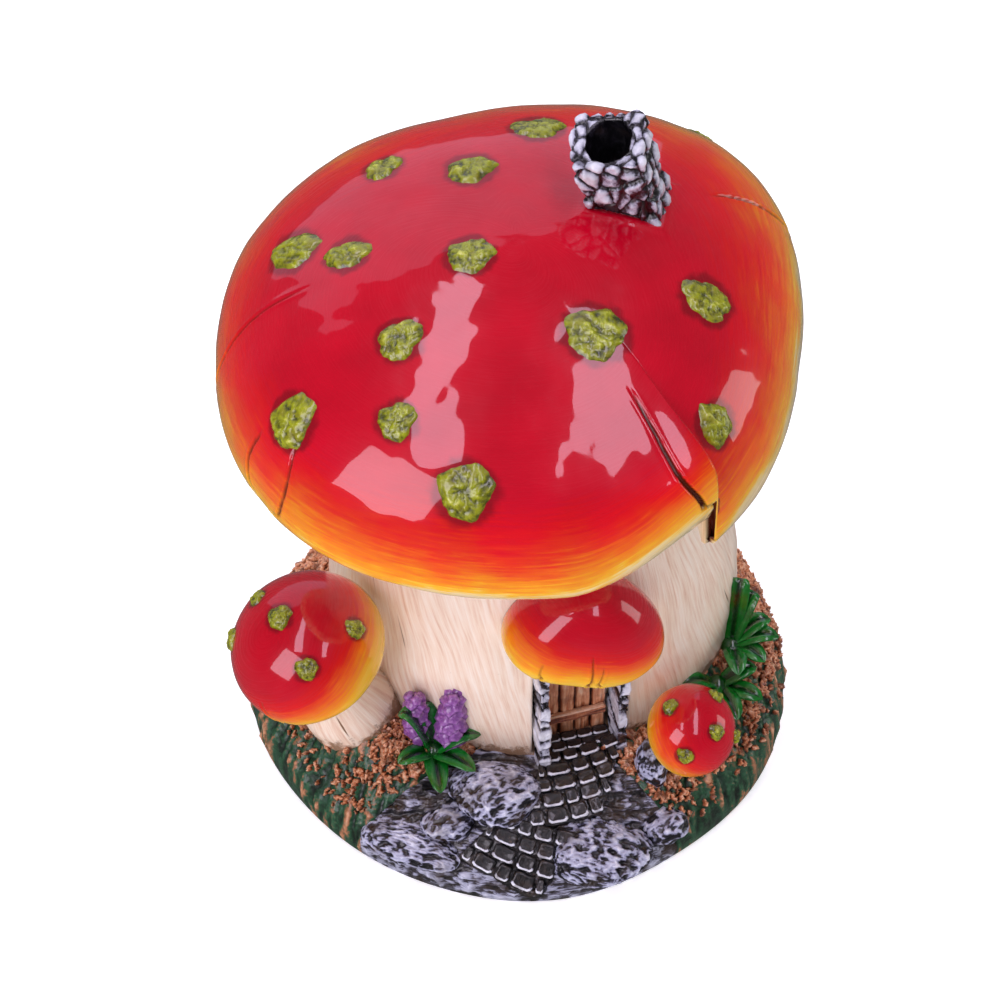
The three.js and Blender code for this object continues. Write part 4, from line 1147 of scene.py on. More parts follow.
@dataclass
class Cap:
    """A lacquered cap with its splits and moss patches."""

    name: str
    node: str
    shape: CapShape
    place: Matrix
    splits: Sequence[Split] = ()
    patches: Sequence[Patch] = ()
    patch_names: Sequence[str] = ()
    columns: int = 160
    rows: int = 70
    near_step: float = 0.3
    near_reach: float = 6.0
    uneven: float = 0.12
    uneven_pitch: float = 9.0
    edge_low: float = -6.0
    bands: Sequence[EdgeBand] = ()
    boss: Boss | None = None
    seam: float = 0.0
    brush: float = 0.8
    brush_length: float = 14.0
    floor_rings: tuple[float, ...] = (1.0, 0.7, 0.35)
    crumb: float = 1.0
    moss: MossForm = MossForm()
    paint: CapLacquer = Paints.CAP

    def bearings(self) -> Array:
        """Gives the columns' bearings, closer together beside each split."""
        steps = [np.linspace(-180, 180, self.columns, endpoint=False)]
        for split in self.splits:
            low, high = sorted((split.start, split.end))
            steps.append(signed(np.arange(low - self.near_reach, high + self.near_reach, self.near_step)))
        every = np.unique(np.round(np.concatenate(steps), 3))
        keep = np.concatenate([[True], np.diff(every) > self.near_step / 2])
        return every[keep]

    def rise(self, bearing: Array, polar: Array) -> Array:
        """Gives the hand-modelled unevenness of the skin."""
        points = self.shape.point(bearing, polar)
        broad = grain(points, 3 * self.uneven_pitch, 2)
        fine = grain(points, self.uneven_pitch, 2, 7.0)
        return self.uneven * (2.2 * broad + 0.5 * fine)

    def build(self) -> None:
        """Builds the cap and its patches."""
        polar, bearing = grid(self.shape.even_polars(self.rows), self.bearings())
        points = self.shape.point(bearing, polar)
        deep = np.zeros_like(bearing)
        for split in self.splits:
            deep = deep + split.depth_at(self.shape, bearing, polar)
        skin = Skin(points)
        ridge = self.boss.at(self.shape, points) if self.boss else 0.0
        skin.raise_by(self.rise(bearing, polar) - deep + ridge)
        mouth = self.shape.radius - 2 * self.shape.lip_tuck
        inner = [
            self.shape.shaped(bearing[0], np.full(bearing.shape[1], mouth * part), self.shape.recess)
            for part in self.floor_rings
        ]
        skin.points = placed(np.concatenate([skin.points, np.array(inner)]), self.place)
        rim = self.rim(bearing, polar)
        comb = points / self.brush_length
        comb[..., 2] = rim / self.brush
        # A darker painted shade on the lacquer round each moss patch
        bleed = 0.8 * self.nearness(points)
        # The deeper a point lies in a split, the browner its painted shade
        tones = {"rim": rim, "bleed": bleed, "comb": comb, "deep": leveled(deep, 0.1, 0.7)}
        for key, values in tones.items():
            ends = [(0, len(inner)), *[(0, 0)] * (values.ndim - 1)]
            skin.tones[key] = np.pad(values, ends, mode="edge")
        # Painted shade along the seam where the cap meets the trunk
        if self.seam:
            gap = TRUNK.clearance(skin.points) + 0.5 * grain(skin.points, 2.5, 2)
            seam = 0.85 * leveled(self.seam - gap, 0.0, 0.5)
            skin.tones["deep"] = np.maximum(skin.tones["deep"], seam)
        skin.piece(self.name, self.paint, [self.node])
        for patch, node in zip(self.patches, self.patch_names):
            self.patch(patch, node)

    def rim(self, bearing: Array, polar: Array) -> Array:
        """Gives the distance from the painted edge, as wide as the lacquer's band is there."""
        further = sum((band.at(bearing) for band in self.bands), np.zeros_like(bearing))
        reach = self.shape.rim_distance(polar) - self.edge_low - further / 2
        return reach * self.paint.band / (self.paint.band + further / 2)

    def nearness(self, points: Array) -> Array:
        """Gives how near each point is to the edge of a moss patch, from 0 to 1."""
        near = np.zeros(points.shape[:-1])
        for patch in self.patches:
            middle = self.shape.point(patch.bearing, patch.polar)
            away = np.linalg.norm(points - middle, axis=-1) / ((patch.width + patch.length) / 4)
            close = away < 1.6
            away[close] += 0.16 * grain(points[close], 3.0, 2, patch.bearing)
            near = np.maximum(near, np.clip(1.25 - away, 0, 0.2) * 5)
        return near

    def patch(self, patch: Patch, node: str) -> None:
        """Builds one crumbly moss patch."""
        radius, height = self.shape.profile(patch.polar)
        next_radius, next_height = self.shape.profile(patch.polar + 1)
        per_degree = float(np.hypot(next_radius - radius, next_height - height))
        outline = (
            Wave(3, 0.1, 0), Wave(5, 0.06, 20), Wave(8, 0.03, patch.polar), Wave(13, 0.02, patch.width),
        )
        share, turn = grid(np.linspace(0.02, 1, self.moss.rings), full_turn(self.moss.segments))
        lump = 1 + waves(outline, turn + patch.bearing) * share ** 2
        out, along = toward(patch.bearing), toward(patch.bearing + 90)
        step = toward(turn) * (share * lump)[..., None]
        flat = (
            out * patch.polar
            + out * (-step[..., 1] * patch.length / 2 / per_degree)[..., None]
            + along * (step[..., 0] * patch.width / 2 * patch.polar / float(radius))[..., None]
        )
        bearing = np.degrees(np.arctan2(flat[..., 0], -flat[..., 1]))
        polar = np.linalg.norm(flat, axis=-1)
        base = self.shape.point(bearing, polar)
        shifted = base + self.moss.pit_shift * rough_shift(base)
        pits, _ = cobbles(shifted, self.moss.pit * self.crumb, patch.bearing)
        mass = 0.5 * leveled(pits, 0.0, 0.25) + 0.9 * grain(base, self.moss.crumb * self.crumb, 3, 11.0)
        body = self.moss.body * (1 - share ** 5) - self.moss.sink
        lift = body + self.moss.relief * mass * (1 - share ** 8) + self.rise(bearing, polar)
        points = self.shape.point(bearing, polar, lift)
        foot = self.shape.point(bearing[-1], polar[-1], -1.0)
        skin = Skin(np.concatenate([points, foot[None]]))
        # The patch darkens towards its outline: painted shade where it meets the cap
        tone = leveled(mass - 0.5 * share ** 8, -0.7, 1.2)
        skin.tones["high"] = np.concatenate([tone, tone[-1:]])
        skin.piece(f"{node}_crumbs", Paints.MOSS, [node], self.place)


@dataclass
class SmallCap(Cap):
    """A cap of the porch or of a toadstool, with its own grid and the narrower brush."""

    columns: int = 170
    rows: int = 76
    near_step: float = 0.8
    near_reach: float = 8.0
    uneven: float = 0.1
    uneven_pitch: float = 6.0
    edge_low: float = -3.0
    seam: float = 0.7
    crumb: float = 0.8
    paint: CapLacquer = Paints.SMALL_CAP


MAIN_CAP = CapShape(
    radius=80.6, dome=47.8, fullness=2.23, lip_drop=8.0, lip_tuck=5.0, recess=7.0,
    outline=(Wave(2, 0.04, -51.5), Wave(3, 0.03, 19), Wave(4, 0.022, 45)),
    lobe=Lobe(bearing=40.0, spread=30.0, lift=17.0),
)
CAP_PLACE = standing_at((-1.0, 10.3, 146.0)) @ lean_towards(0, 3.1)
CAP_SPLITS = (
    Split(42, 32, 43, 4.0, 3.0),
    Split(-50, -49, 66, 2.4, 1.8),
    Split(-60, -57, 72, 3.0, 2.2),
    Split(-86, -80, 45, 2.0, 1.4),
    Split(-161, -158, 74, 4.0, 2.6),
    Split(117, 115, 46, 3.0, 2.4),
)
CAP_PATCHES = (
    Patch(-96, 45, 12, 16), Patch(-89, 31, 9, 14), Patch(-131, 34, 12, 9), Patch(-155, 19, 15, 11),
    Patch(173, 33, 16, 12), Patch(-63, 8, 12, 13), Patch(-45, 29, 11, 13), Patch(-53, 60, 13, 16),
    Patch(-31, 45, 10, 11), Patch(-11, 58, 15, 16), Patch(34, 24, 17, 16), Patch(75, 39, 13, 16),
    Patch(48, 58, 11, 13), Patch(143, 77, 13, 12), Patch(171, 79, 12, 12), Patch(-160, 76, 14, 12),
    Patch(-134, 78, 11, 12),
)


# Small forms set on many points

class Input(Enum):
    """The inputs of the setting tree."""

    FORM = "Form"
    ROUGH = "Roughness"
    PITCH = "Pitch"
    SEED = "Seed"
    PAINT = "Paint"


def setting_tree() -> bpy.types.GeometryNodeTree:
    """Gives the tree that sets a form on every point by its attributes "turn" and "size", and roughens it."""
    tree = bpy.data.node_groups.get("set_small_forms")
    if tree:
        return tree
    tree = bpy.data.node_groups.new("set_small_forms", "GeometryNodeTree")
    for name, kind in (
        ("Points", "NodeSocketGeometry"),
        (Input.FORM.value, "NodeSocketObject"),
        (Input.ROUGH.value, "NodeSocketFloat"),
        (Input.PITCH.value, "NodeSocketFloat"),
        (Input.SEED.value, "NodeSocketFloat"),
        (Input.PAINT.value, "NodeSocketMaterial"),
    ):
        tree.interface.new_socket(name, in_out="INPUT", socket_type=kind)
    tree.interface.new_socket("Forms", in_out="OUTPUT", socket_type="NodeSocketGeometry")
    given = tree.nodes.new("NodeGroupInput").outputs
    node = partial(add, tree)
    form = node("GeometryNodeObjectInfo", {}, {"Object": given[Input.FORM.value]}, "Geometry")
    turn, size = [
        node("GeometryNodeInputNamedAttribute", {"data_type": "FLOAT_VECTOR", "Name": name}, {}, "Attribute")
        for name in ("turn", "size")
    ]
    facing = node("FunctionNodeEulerToRotation", {}, {0: turn})
    set_forms = node(
        "GeometryNodeInstanceOnPoints",
        {},
        {"Points": given["Points"], "Instance": form, "Rotation": facing, "Scale": size},
    )
    real = node("GeometryNodeRealizeInstances", {}, {"Geometry": set_forms})
    place = node("GeometryNodeInputPosition", {}, {})
    fineness = node("ShaderNodeMath", {"operation": "DIVIDE", 0: 1.0}, {1: given[Input.PITCH.value]})
    uneven = node(
        "ShaderNodeTexNoise",
        {"noise_dimensions": "4D", "Detail": 2.0},
        {"Vector": place, "W": given[Input.SEED.value], "Scale": fineness},
    )
    centred = node("ShaderNodeMath", {"operation": "SUBTRACT", 1: 0.5}, {0: uneven})
    amount = node("ShaderNodeMath", {"operation": "MULTIPLY"}, {0: centred, 1: given[Input.ROUGH.value]})
    normal = node("GeometryNodeInputNormal", {}, {})
    push = node("ShaderNodeVectorMath", {"operation": "SCALE"}, {0: normal, "Scale": amount})
    moved = node("GeometryNodeSetPosition", {}, {"Geometry": real, "Offset": push})
    painted = node("GeometryNodeSetMaterial", {}, {"Geometry": moved, "Material": given[Input.PAINT.value]})
    node("NodeGroupOutput", {}, {"Forms": painted})
    return tree


@dataclass
class Setting:
    """One small form, and the points that it is set on."""

    form: Part
    finish: Finish
    rough: float = 0.3
    pitch: float = 1.5
    seed: float = 1.0
    spots: list[Array] = field(default_factory=list)
    turns: list[Triple] = field(default_factory=list)
    sizes: list[Triple] = field(default_factory=list)

    def put(self, spot: Array, turn: Matrix, size: Triple) -> None:
        """Sets the form on one point.

        Args:
            spot: the place of its middle.
            turn: how it is turned.
            size: how large it is along its own x, y and z.
        """
        self.spots.append(np.asarray(spot, float))
        self.turns.append(tuple(turn.to_euler()))
        self.sizes.append(size)

    def mesh(self, name: str) -> bpy.types.Mesh:
        """Gives all set forms as one plain mesh."""
        points = Part(np.array(self.spots), [], {"turn": np.array(self.turns), "size": np.array(self.sizes)})
        holder = shown(f"{name}_points", points.mesh(f"{name}_points"))
        form = shown(f"{name}_form", self.form.mesh(f"{name}_form"))
        setter = holder.modifiers.new("set", "NODES")
        setter.node_group = setting_tree()
        sockets = {item.name: item.identifier for item in setter.node_group.interface.items_tree}
        values = {
            Input.FORM: form,
            Input.ROUGH: 2 * self.rough * MM,
            Input.PITCH: self.pitch * MM,
            Input.SEED: self.seed,
            Input.PAINT: self.finish.material(),
        }
        for key, value in values.items():
            setter[sockets[key.value]] = value
        graph = bpy.context.evaluated_depsgraph_get()
        made = bpy.data.meshes.new_from_object(holder.evaluated_get(graph))
        holder.modifiers.remove(setter)
        for item in (holder, form):
            bpy.data.objects.remove(item)
        return made

    def piece(self, name: str, nodes: Sequence[str]) -> Thing:
        """Makes all set forms one finished piece that stands for some solids."""
        return dressed(name, self.mesh(name), self.finish, nodes)


def basis(along: Array, up: Array) -> Matrix:
    """Gives the turn that takes x along one way and z as near as it can to another."""
    first = Vector(along).normalized()
    second = Vector(up).cross(first).normalized()
    third = first.cross(second)
    return Matrix((first, second, third)).transposed()


def rounded_plan(columns: int, half_x: float, half_y: float, power: float = 6.0) -> Array:
    """Gives a rounded oblong as a ring of level points."""
    angle = full_turn(columns, 2 * math.pi)
    reach = (np.abs(np.cos(angle)) ** power + np.abs(np.sin(angle)) ** power) ** (-1 / power)
    return np.stack([np.cos(angle) * reach * half_x, np.sin(angle) * reach * half_y, 0 * angle], -1)


def slab(x: Pair, y: Pair, z: Pair, columns: int, rows: int) -> Skin:
    """Gives an upright slab with rounded edges.

    Args:
        x: its left and right sides.
        y: its front and back.
        z: its foot and top.
        columns: how many columns go round it.
        rows: how many rows it has.

    Returns:
        Its skin.
    """
    ring = rounded_plan(columns, (x[1] - x[0]) / 2, (y[1] - y[0]) / 2, 14.0)
    ring += np.array([(x[0] + x[1]) / 2, (y[0] + y[1]) / 2, 0])
    points = np.repeat(ring[None], rows, 0)
    points[..., 2] = np.linspace(z[0], z[1], rows)[:, None]
    for row in (0, -1):
        points[row, :, :2] = mix(ring.mean(0)[:2], points[row, :, :2], 0.94)
    return Skin(points)


def brick_form() -> Part:
    """Gives a brick one unit long, wide and high, pale on its upper front edge."""
    rows, tone = [], []
    for height, inset in ((-0.5, 0.0), (0.15, 0.0), (0.4, 0.02), (0.5, 0.1), (0.47, 0.15)):
        ring = rounded_plan(20, 0.5 - inset, 0.5 - inset * 1.4, 9.0)
        ring[:, 2] = height
        rows.append(ring)
        front = np.clip((-ring[:, 1] - 0.1) / 0.15, 0, 1)
        edge = 1.0 if 0.0 < inset < 0.15 else 0.0
        tone.append(0.28 + 0.8 * edge * front if height > 0.2 else np.full_like(front, 0.1))
    return Skin(np.array(rows), tones={"high": np.array(tone)}).part()


def chip_form() -> Part:
    """Gives a flake of bark one unit long along x, pointed at its ends."""
    rows, tone = [], []
    for along, aside, half, rise in (
        (-0.5, 0.1, 0.05, 0.0), (-0.34, 0.02, 0.3, 0.7), (-0.12, -0.1, 0.24, 0.5), (0.06, 0.08, 0.46, 1.0),
        (0.26, -0.04, 0.2, 0.6), (0.4, -0.12, 0.24, 0.75), (0.5, -0.16, 0.05, 0.2),
    ):
        left, right = aside - half, aside + half
        upper = ((right * 0.9, 0.5 * rise), (aside, rise), (left * 0.9, 0.3 * rise))
        rows.append([[along, *corner] for corner in ((left, -0.5), (right, -0.5), *upper)])
        # Dark lower sides are painted shade, and one upper side is paler than the other as painted light
        tone.append([0.1, 0.15, 0.6, 0.95, 0.45])
    return Skin(np.array(rows), tones={"high": np.array(tone)}).part()


def bud_form() -> Part:
    """Gives a floret bud of unit radius with a dimpled, lobed end."""
    rows, tone = [], []
    angle = full_turn(10, 2 * math.pi)
    for polar, dimple, shadow in ((12, 0.25, 0.3), (45, 0, 0), (80, 0, 0), (115, 0, 0), (150, 0, 0)):
        lobes = 1 + 0.14 * np.cos(5 * angle) * math.sin(math.radians(polar))
        reach = math.sin(math.radians(polar)) * lobes
        height = np.full_like(angle, math.cos(math.radians(polar)) - dimple)
        rows.append(np.stack([np.cos(angle) * reach, np.sin(angle) * reach, height], -1))
        # Painted light towards the outer end, and painted shade at the base and in the dimple
        tone.append(0.35 + 0.65 * np.clip(height, 0, 1) - shadow + 0.12 * np.cos(5 * angle))
    return Skin(np.array(rows), tones={"high": np.array(tone)}).part()


# Chimney and doorway

@dataclass
class Chimney:
    """The crooked chimney: a mosaic of small stones round a flue."""

    bearing: float = 119.0
    polar: float = 21.5
    height: float = 22.0
    root: float = 9.0
    foot_width: float = 20.0
    top_width: float = 20.4
    depth_share: float = 0.86
    back_rise: float = 3.0
    flue: float = 6.0
    flue_depth: float = 13.0
    stone: float = 4.6
    bulge: float = 1.5
    columns: int = 220
    wall_rows: int = 70
    brim_rows: int = 14
    flue_rows: int = 12
    lean: float = -15.0
    turn: float = -9.0

    def build(self) -> None:
        """Builds the chimney."""
        skin = Skin(np.array(self.rings()))
        inside, stone = cobbles(skin.points * np.array([1.0, 1.0, 0.85]), self.stone, 0.4)
        rough = grain(skin.points, 1.6, 2)
        deep = np.zeros(len(skin.points))
        # The flue takes a painted shade that deepens down it
        deep[-self.flue_rows:] = np.linspace(0.55, 1.0, self.flue_rows)
        round_stone = leveled(inside, 0.0, 0.55) ** 0.6
        amount = self.bulge * (round_stone - 0.75) + 0.7 * (stone - 0.5) + 0.25 * rough
        skin.raise_by(amount * (1 - 0.6 * (deep > 0))[:, None])
        tone = round_stone * (0.7 + 0.25 * stone) + 0.2 * rough
        # Darker towards the foot, and darkened down the flue with painted shade
        low = leveled(skin.points[..., 2], -4.0, 12.0)
        skin.tones["high"] = (tone * (0.66 + 0.34 * low)) * (1 - deep[:, None])
        foot = CAP_PLACE @ standing_at(MAIN_CAP.point(self.bearing, self.polar))
        place = foot @ lean_towards(90, self.lean) @ turn_to(self.turn)
        skin.piece("chimney_stones", Paints.CHIMNEY, ["chimney"], place)

    def rings(self) -> list[Array]:
        """Gives the rings up the wall, over the brim and down the flue."""
        rows = []
        for height in np.linspace(-self.root, self.height - 1.0, self.wall_rows):
            width = mix(self.foot_width, self.top_width, height / self.height) / 2
            ring = rounded_plan(self.columns, width, width * self.depth_share, 7.0)
            ring[:, 2] = height + self.lift(ring) * leveled(height, self.height * 0.5, self.height)
            rows.append(ring)
        brim = rounded_plan(self.columns, self.top_width / 2, self.top_width / 2 * self.depth_share, 7.0)
        hole = rounded_plan(self.columns, self.flue, self.flue, 2.4)
        for share in np.linspace(0.04, 1, self.brim_rows):
            ring = mix(brim, hole, share)
            ring[:, 2] = self.height + self.lift(brim) - 0.8 * (2 * share - 1) ** 4
            rows.append(ring)
        for depth in np.linspace(0.6, self.flue_depth, self.flue_rows):
            ring = hole * (1 - 0.01 * depth)
            ring[:, 2] = self.height + self.lift(brim) * (1 - depth / self.flue_depth) - depth
            rows.append(ring)
        return rows

    def lift(self, ring: Array) -> Array:
        """Gives how much higher the crown is towards its back."""
        return self.back_rise / 2 * (1 + ring[:, 1] / (self.top_width / 2 * self.depth_share))


@dataclass
class Doorway:
    """The plank door in its recess, with stone jambs and a stone sill."""

    bearing: float = 14.0
    width: float = 19.0
    low: float = 28.4
    high: float = 77.1
    face: float = 48.7
    back: float = 45.8
    wall: float = 55.2
    planks: int = 4
    groove: float = 0.9
    groove_depth: float = 0.9
    grain_pitch: Triple = (0.8, 0.8, 9.0)
    batten_low: float = 36.5
    batten_high: float = 39.8
    batten_thickness: float = 1.6
    jamb_width: float = 3.6
    jamb_front: float = 58.8
    stone_height: float = 6.0
    stone_stretch: Triple = (0.42, 0.3, 1.0)
    sill_rows: int = 2
    sill_stones: int = 4
    sill_stone: Triple = (4.5, 3.1, 1.9)

    def place(self) -> Matrix:
        """Gives the place of the doorway: its -y side is its front."""
        return TRUNK.place() @ turn_to(self.bearing)

    def build(self) -> None:
        """Builds the door, its batten, the sill and the jambs."""
        self.door()
        self.batten()
        self.jamb(-1, "left")
        self.jamb(1, "right")
        self.sill()

    def door(self) -> None:
        """Builds the boards of the door."""
        half = self.width / 2
        skin = slab((-half, half), (-self.face, -self.back), (self.low, self.high), 400, 120)
        x = skin.points[..., 0]
        pitch = self.width / self.planks
        across = (x + half) / pitch
        joint = np.abs(across - np.round(across)) * pitch
        plank = np.floor(np.clip(across, 0, self.planks - 0.01))
        grained = skin.points * (1 / np.array(self.grain_pitch)) + plank[..., None] * 3.7
        lines = grain(grained, 1.0, 3)
        knots = grain(skin.points, 2.6, 2, 8.0)
        open_joint = np.exp(-((joint / (self.groove / 2)) ** 2))
        relief = 0.28 * lines + 0.2 * knots + 0.25 * np.sin(plank * 2.3)
        skin.raise_by(relief - self.groove_depth * open_joint)
        skin.tones["high"] = leveled(0.5 * lines + 0.25 * knots - 1.2 * open_joint, -1.2, 0.5)
        skin.piece("door_boards", Paints.DOOR, ["door_panel"], self.place())

    def batten(self) -> None:
        """Builds the rough batten across the boards."""
        half = self.width / 2 - 0.8
        front = -self.face - self.batten_thickness
        skin = slab((-half, half), (front, -self.face), (self.batten_low, self.batten_high), 200, 14)
        lines = grain(skin.points * np.array([1 / 8.0, 1.0, 1 / 0.7]), 1.0, 3)
        skin.raise_by(0.3 * lines)
        edge = leveled(skin.points[..., 2], self.batten_high - 1.2, self.batten_high)
        skin.tones["high"] = leveled(0.5 * lines + 0.8 * edge, -0.5, 0.9)
        skin.points[..., 2] += 0.06 * skin.points[..., 0]
        skin.piece("door_cross_batten", Paints.DOOR, ["door_batten"], self.place())

    def jamb(self, side: int, label: str) -> None:
        """Builds one jamb of stacked stones."""
        middle = side * (self.width / 2 + 0.3 + self.jamb_width / 2)
        half = self.jamb_width / 2
        skin = slab(
            (middle - half, middle + half), (-self.jamb_front, -self.back), (self.low - 4, self.high), 72, 150
        )
        stretched = skin.points * np.array(self.stone_stretch)
        inside, stone = cobbles(stretched, self.stone_height, 3.0 * side)
        rough = grain(skin.points, 1.4, 2)
        round_stone = leveled(inside, 0.0, 0.3) ** 0.6
        skin.raise_by(1.1 * (round_stone - 0.8) + 0.7 * (stone - 0.5) + 0.3 * rough)
        skin.tones["high"] = round_stone * (0.75 + 0.25 * stone) + 0.22 * rough
        skin.piece(f"jamb_stones_{label}", Paints.CHIMNEY, [f"door_jamb_{label}"], self.place())

    def sill(self) -> None:
        """Lays the sill's small stones in front of the door."""
        stones = Setting(brick_form(), Paints.BRICK, rough=0.35, pitch=1.4, seed=3.0)
        most = self.width / 2 - 2.2
        for row in range(self.sill_rows):
            y = -self.face - 0.4 - (row + 0.5) * (self.wall - self.face) / self.sill_rows
            for number in range(self.sill_stones):
                x = (number + 0.5 + 0.2 * (row % 2)) / self.sill_stones * self.width - self.width / 2
                x = min(max(x, -most), most)
                stones.put(np.array([x, y, self.low + 0.9]), Matrix.Identity(3), self.sill_stone)
        mesh = stones.mesh("sill_stones")
        place = TRUNK.place().translation * MM
        mesh.transform(Matrix.LocRotScale(place, turn_to(self.bearing).to_3x3(), None))
        dressed("sill_stones", mesh, Paints.BRICK, ["door_sill"])


# Paths and rocks

@dataclass(frozen=True)
class PathEnd:
    """One end of a path: its bearing, its share of the ground, and half its width in degrees."""

    bearing: float
    share: float
    half_span: float


@dataclass
class Path:
    """Rows of bricks laid in a running bond over a mortar bed."""

    name: str
    node: str
    rows: int
    start: PathEnd
    end: PathEnd
    slant: float
    bricks: int = 4
    thickness: float = 2.7
    joint: float = 0.9
    uneven: float = 0.16
    shortest: float = 0.12
    bed_top: float = 0.9
    bed_foot: float = -1.2
    level: float = 1.2
    centre: float = 1.5
    seed: int = 11

    def spot(self, along: Any, across: Any, lift: Any) -> Array:
        """Gives a point of the path: along from its start, and across from -1 to 1."""
        bearing = mix(self.start.bearing, self.end.bearing, along)
        half = mix(self.start.half_span, self.end.half_span, along)
        share = mix(self.start.share, self.end.share, along) + self.slant * across
        return GROUND.point(bearing + half * across, share, lift)

    def build(self) -> None:
        """Builds the bed and the bricks."""
        last = self.rows - 1
        margin = 0.5 / last
        across = np.linspace(-1, 1, 60)[None, :]
        along = np.linspace(-margin, 1 + margin, 70)[:, None]
        top = self.spot(along, across, self.bed_top)
        under = self.spot(along[::-1], across, self.bed_foot)
        skin = Skin(np.concatenate([top, under]), ring=False)
        rough = grain(skin.points, 2.0, 3)
        skin.raise_by(0.35 * rough)
        skin.tones["high"] = leveled(rough, -0.7, 1.9)
        skin.piece(f"{self.name}_bed", Paints.BRICK, [self.node])
        laid = Setting(brick_form(), Paints.BRICK, rough=0.3, pitch=1.3, seed=7.0)
        generator = np.random.default_rng(self.seed)
        for row in range(self.rows):
            drift = self.uneven * generator.uniform(-1, 1, self.bricks + 2)
            edges = np.arange(-1, self.bricks + 1) + 0.5 * (row % 2) + drift
            edges = np.clip(edges / self.bricks * 2 - 1, -1, 1)
            for left, right in zip(edges[:-1], edges[1:]):
                if right - left > self.shortest:
                    self.lay(laid, row / last, left, right, margin)
        laid.piece(f"{self.name}_bricks", [self.node])

    def lay(self, laid: Setting, place: float, left: float, right: float, margin: float) -> None:
        """Lays one brick between two places across a row."""
        middle = (left + right) / 2
        start, end = [self.spot(place, across, self.level) for across in (left, right)]
        near, far = [self.spot(along, middle, self.level) for along in (place - margin, place + margin)]
        up = np.cross(end - start, near - far)
        size = (
            float(np.linalg.norm(end - start)) - self.joint,
            float(np.linalg.norm(far - near)) - self.joint * 0.7,
            self.thickness,
        )
        laid.put(self.spot(place, middle, self.centre), basis(end - start, up), size)


@dataclass
class Rock:
    """A drybrushed boulder on the ledge."""

    node: str
    seed: int
    bearing: float
    share: float
    size: Triple
    turn: float
    rise: float
    vein: float = 0.55
    vein_lean: float = 40.0
    vein_pitch: float = 4.6
    pit_pitch: float = 3.2
    large: float = 9.0

    def build(self) -> None:
        """Builds the rock."""
        shape = bmesh.new()
        bmesh.ops.create_icosphere(shape, subdivisions=6 if self.size[0] > self.large else 5, radius=1)
        points = np.array([vertex.co for vertex in shape.verts])
        faces = [[vertex.index for vertex in face.verts] for face in shape.faces]
        shape.free()
        x, y, z = points.T
        broad = np.sin(3.1 * x + self.seed) * np.cos(2.7 * y + 2 * self.seed)
        fine = np.sin(5.3 * z + 2 * x + 3 * self.seed)
        form = points * (1 + 0.09 * broad + 0.04 * fine)[:, None] * np.array(self.size)
        lean = math.radians(self.vein_lean)
        veined = np.stack([
            form[:, 0] * math.cos(lean) + form[:, 1] * math.sin(lean),
            (form[:, 1] * math.cos(lean) - form[:, 0] * math.sin(lean)) * 2.6,
            form[:, 2] * 2.0,
        ], -1)
        veins = grain(veined, self.vein_pitch, 3, float(self.seed))
        pits = grain(form, self.pit_pitch, 3, 20.0 + self.seed)
        relief = (1 - 1.6 * np.abs(veins)) * 0.9 + 0.5 * pits
        out = form / np.array(self.size) ** 2
        out = out / np.linalg.norm(out, axis=1, keepdims=True)
        form = form + out * ((relief - 0.5) * self.vein)[:, None]
        place = standing_at(GROUND.point(self.bearing, self.share, self.rise)) @ turn_to(self.turn)
        # Upward faces are a little paler: painted light from above
        tone = leveled(relief + 0.2 * out[:, 2], -0.1, 1.25)
        Part(placed(form, place), faces, {"high": tone}).piece(f"{self.node}_stone", Paints.ROCK, [self.node])


# Toadstools and plants

@dataclass
class Stem:
    """A toadstool's cream stem, which swells to its foot."""

    node: str
    place: Matrix
    foot: float
    neck: float
    height: float
    flare: float = 1.6

    def build(self) -> None:
        """Builds the stem."""
        along, bearing = grid(np.linspace(-0.3, 1.0, 60), full_turn(120))
        radius = mix(self.foot, self.neck, smooth(along * 1.3)) + self.flare * (1 - smooth(along * 2.2))
        points = around(bearing, radius, along * (self.height + 0.8))
        comb = around(bearing + 12 * along, self.foot, along * 2.0)
        skin = Skin(points)
        skin.raise_by(0.25 * grain(comb * np.array([0.3, 0.3, 0.8]), 1.0, 2))
        skin.tones["comb"] = comb
        skin.tones["foot"] = leveled(0.1 - along + 0.1 * grain(points, 5.0, 2), 0.0, 0.3)
        skin.piece(f"{self.node}_fibres", Paints.TRUNK, [self.node], self.place)


@dataclass
class Toadstool:
    """A small toadstool that leans against the house.

    Its foot is a bearing and a gap from the trunk, its lean and its cap's tilt a bearing and an angle, and
    its stem a radius at the foot, one at the neck, and a height.
    """

    name: str
    foot: Pair
    lean: Pair
    stem: Triple
    tilt: Pair
    shape: CapShape
    splits: Sequence[Split]
    patches: Sequence[Patch]
    bands: Sequence[EdgeBand]

    def build(self) -> None:
        """Builds the stem and the cap."""
        foot = standing_at(GROUND.beside_trunk(*self.foot)) @ lean_towards(*self.lean)
        low, neck, height = self.stem
        Stem(f"{self.name}_stem", foot, low, neck, height).build()
        head = foot @ standing_at((0, 0, height)) @ lean_towards(*self.tilt)
        names = [f"{self.name}_moss_{number}" for number in range(1, len(self.patches) + 1)]
        SmallCap(
            f"{self.name}_skin", f"{self.name}_cap", self.shape, head, self.splits, self.patches, names,
            bands=self.bands,
        ).build()


@dataclass(frozen=True)
class Leaf:
    """One leaf: its bearing, its length, and its rise as a share of its length."""

    bearing: float
    length: float
    rise: float


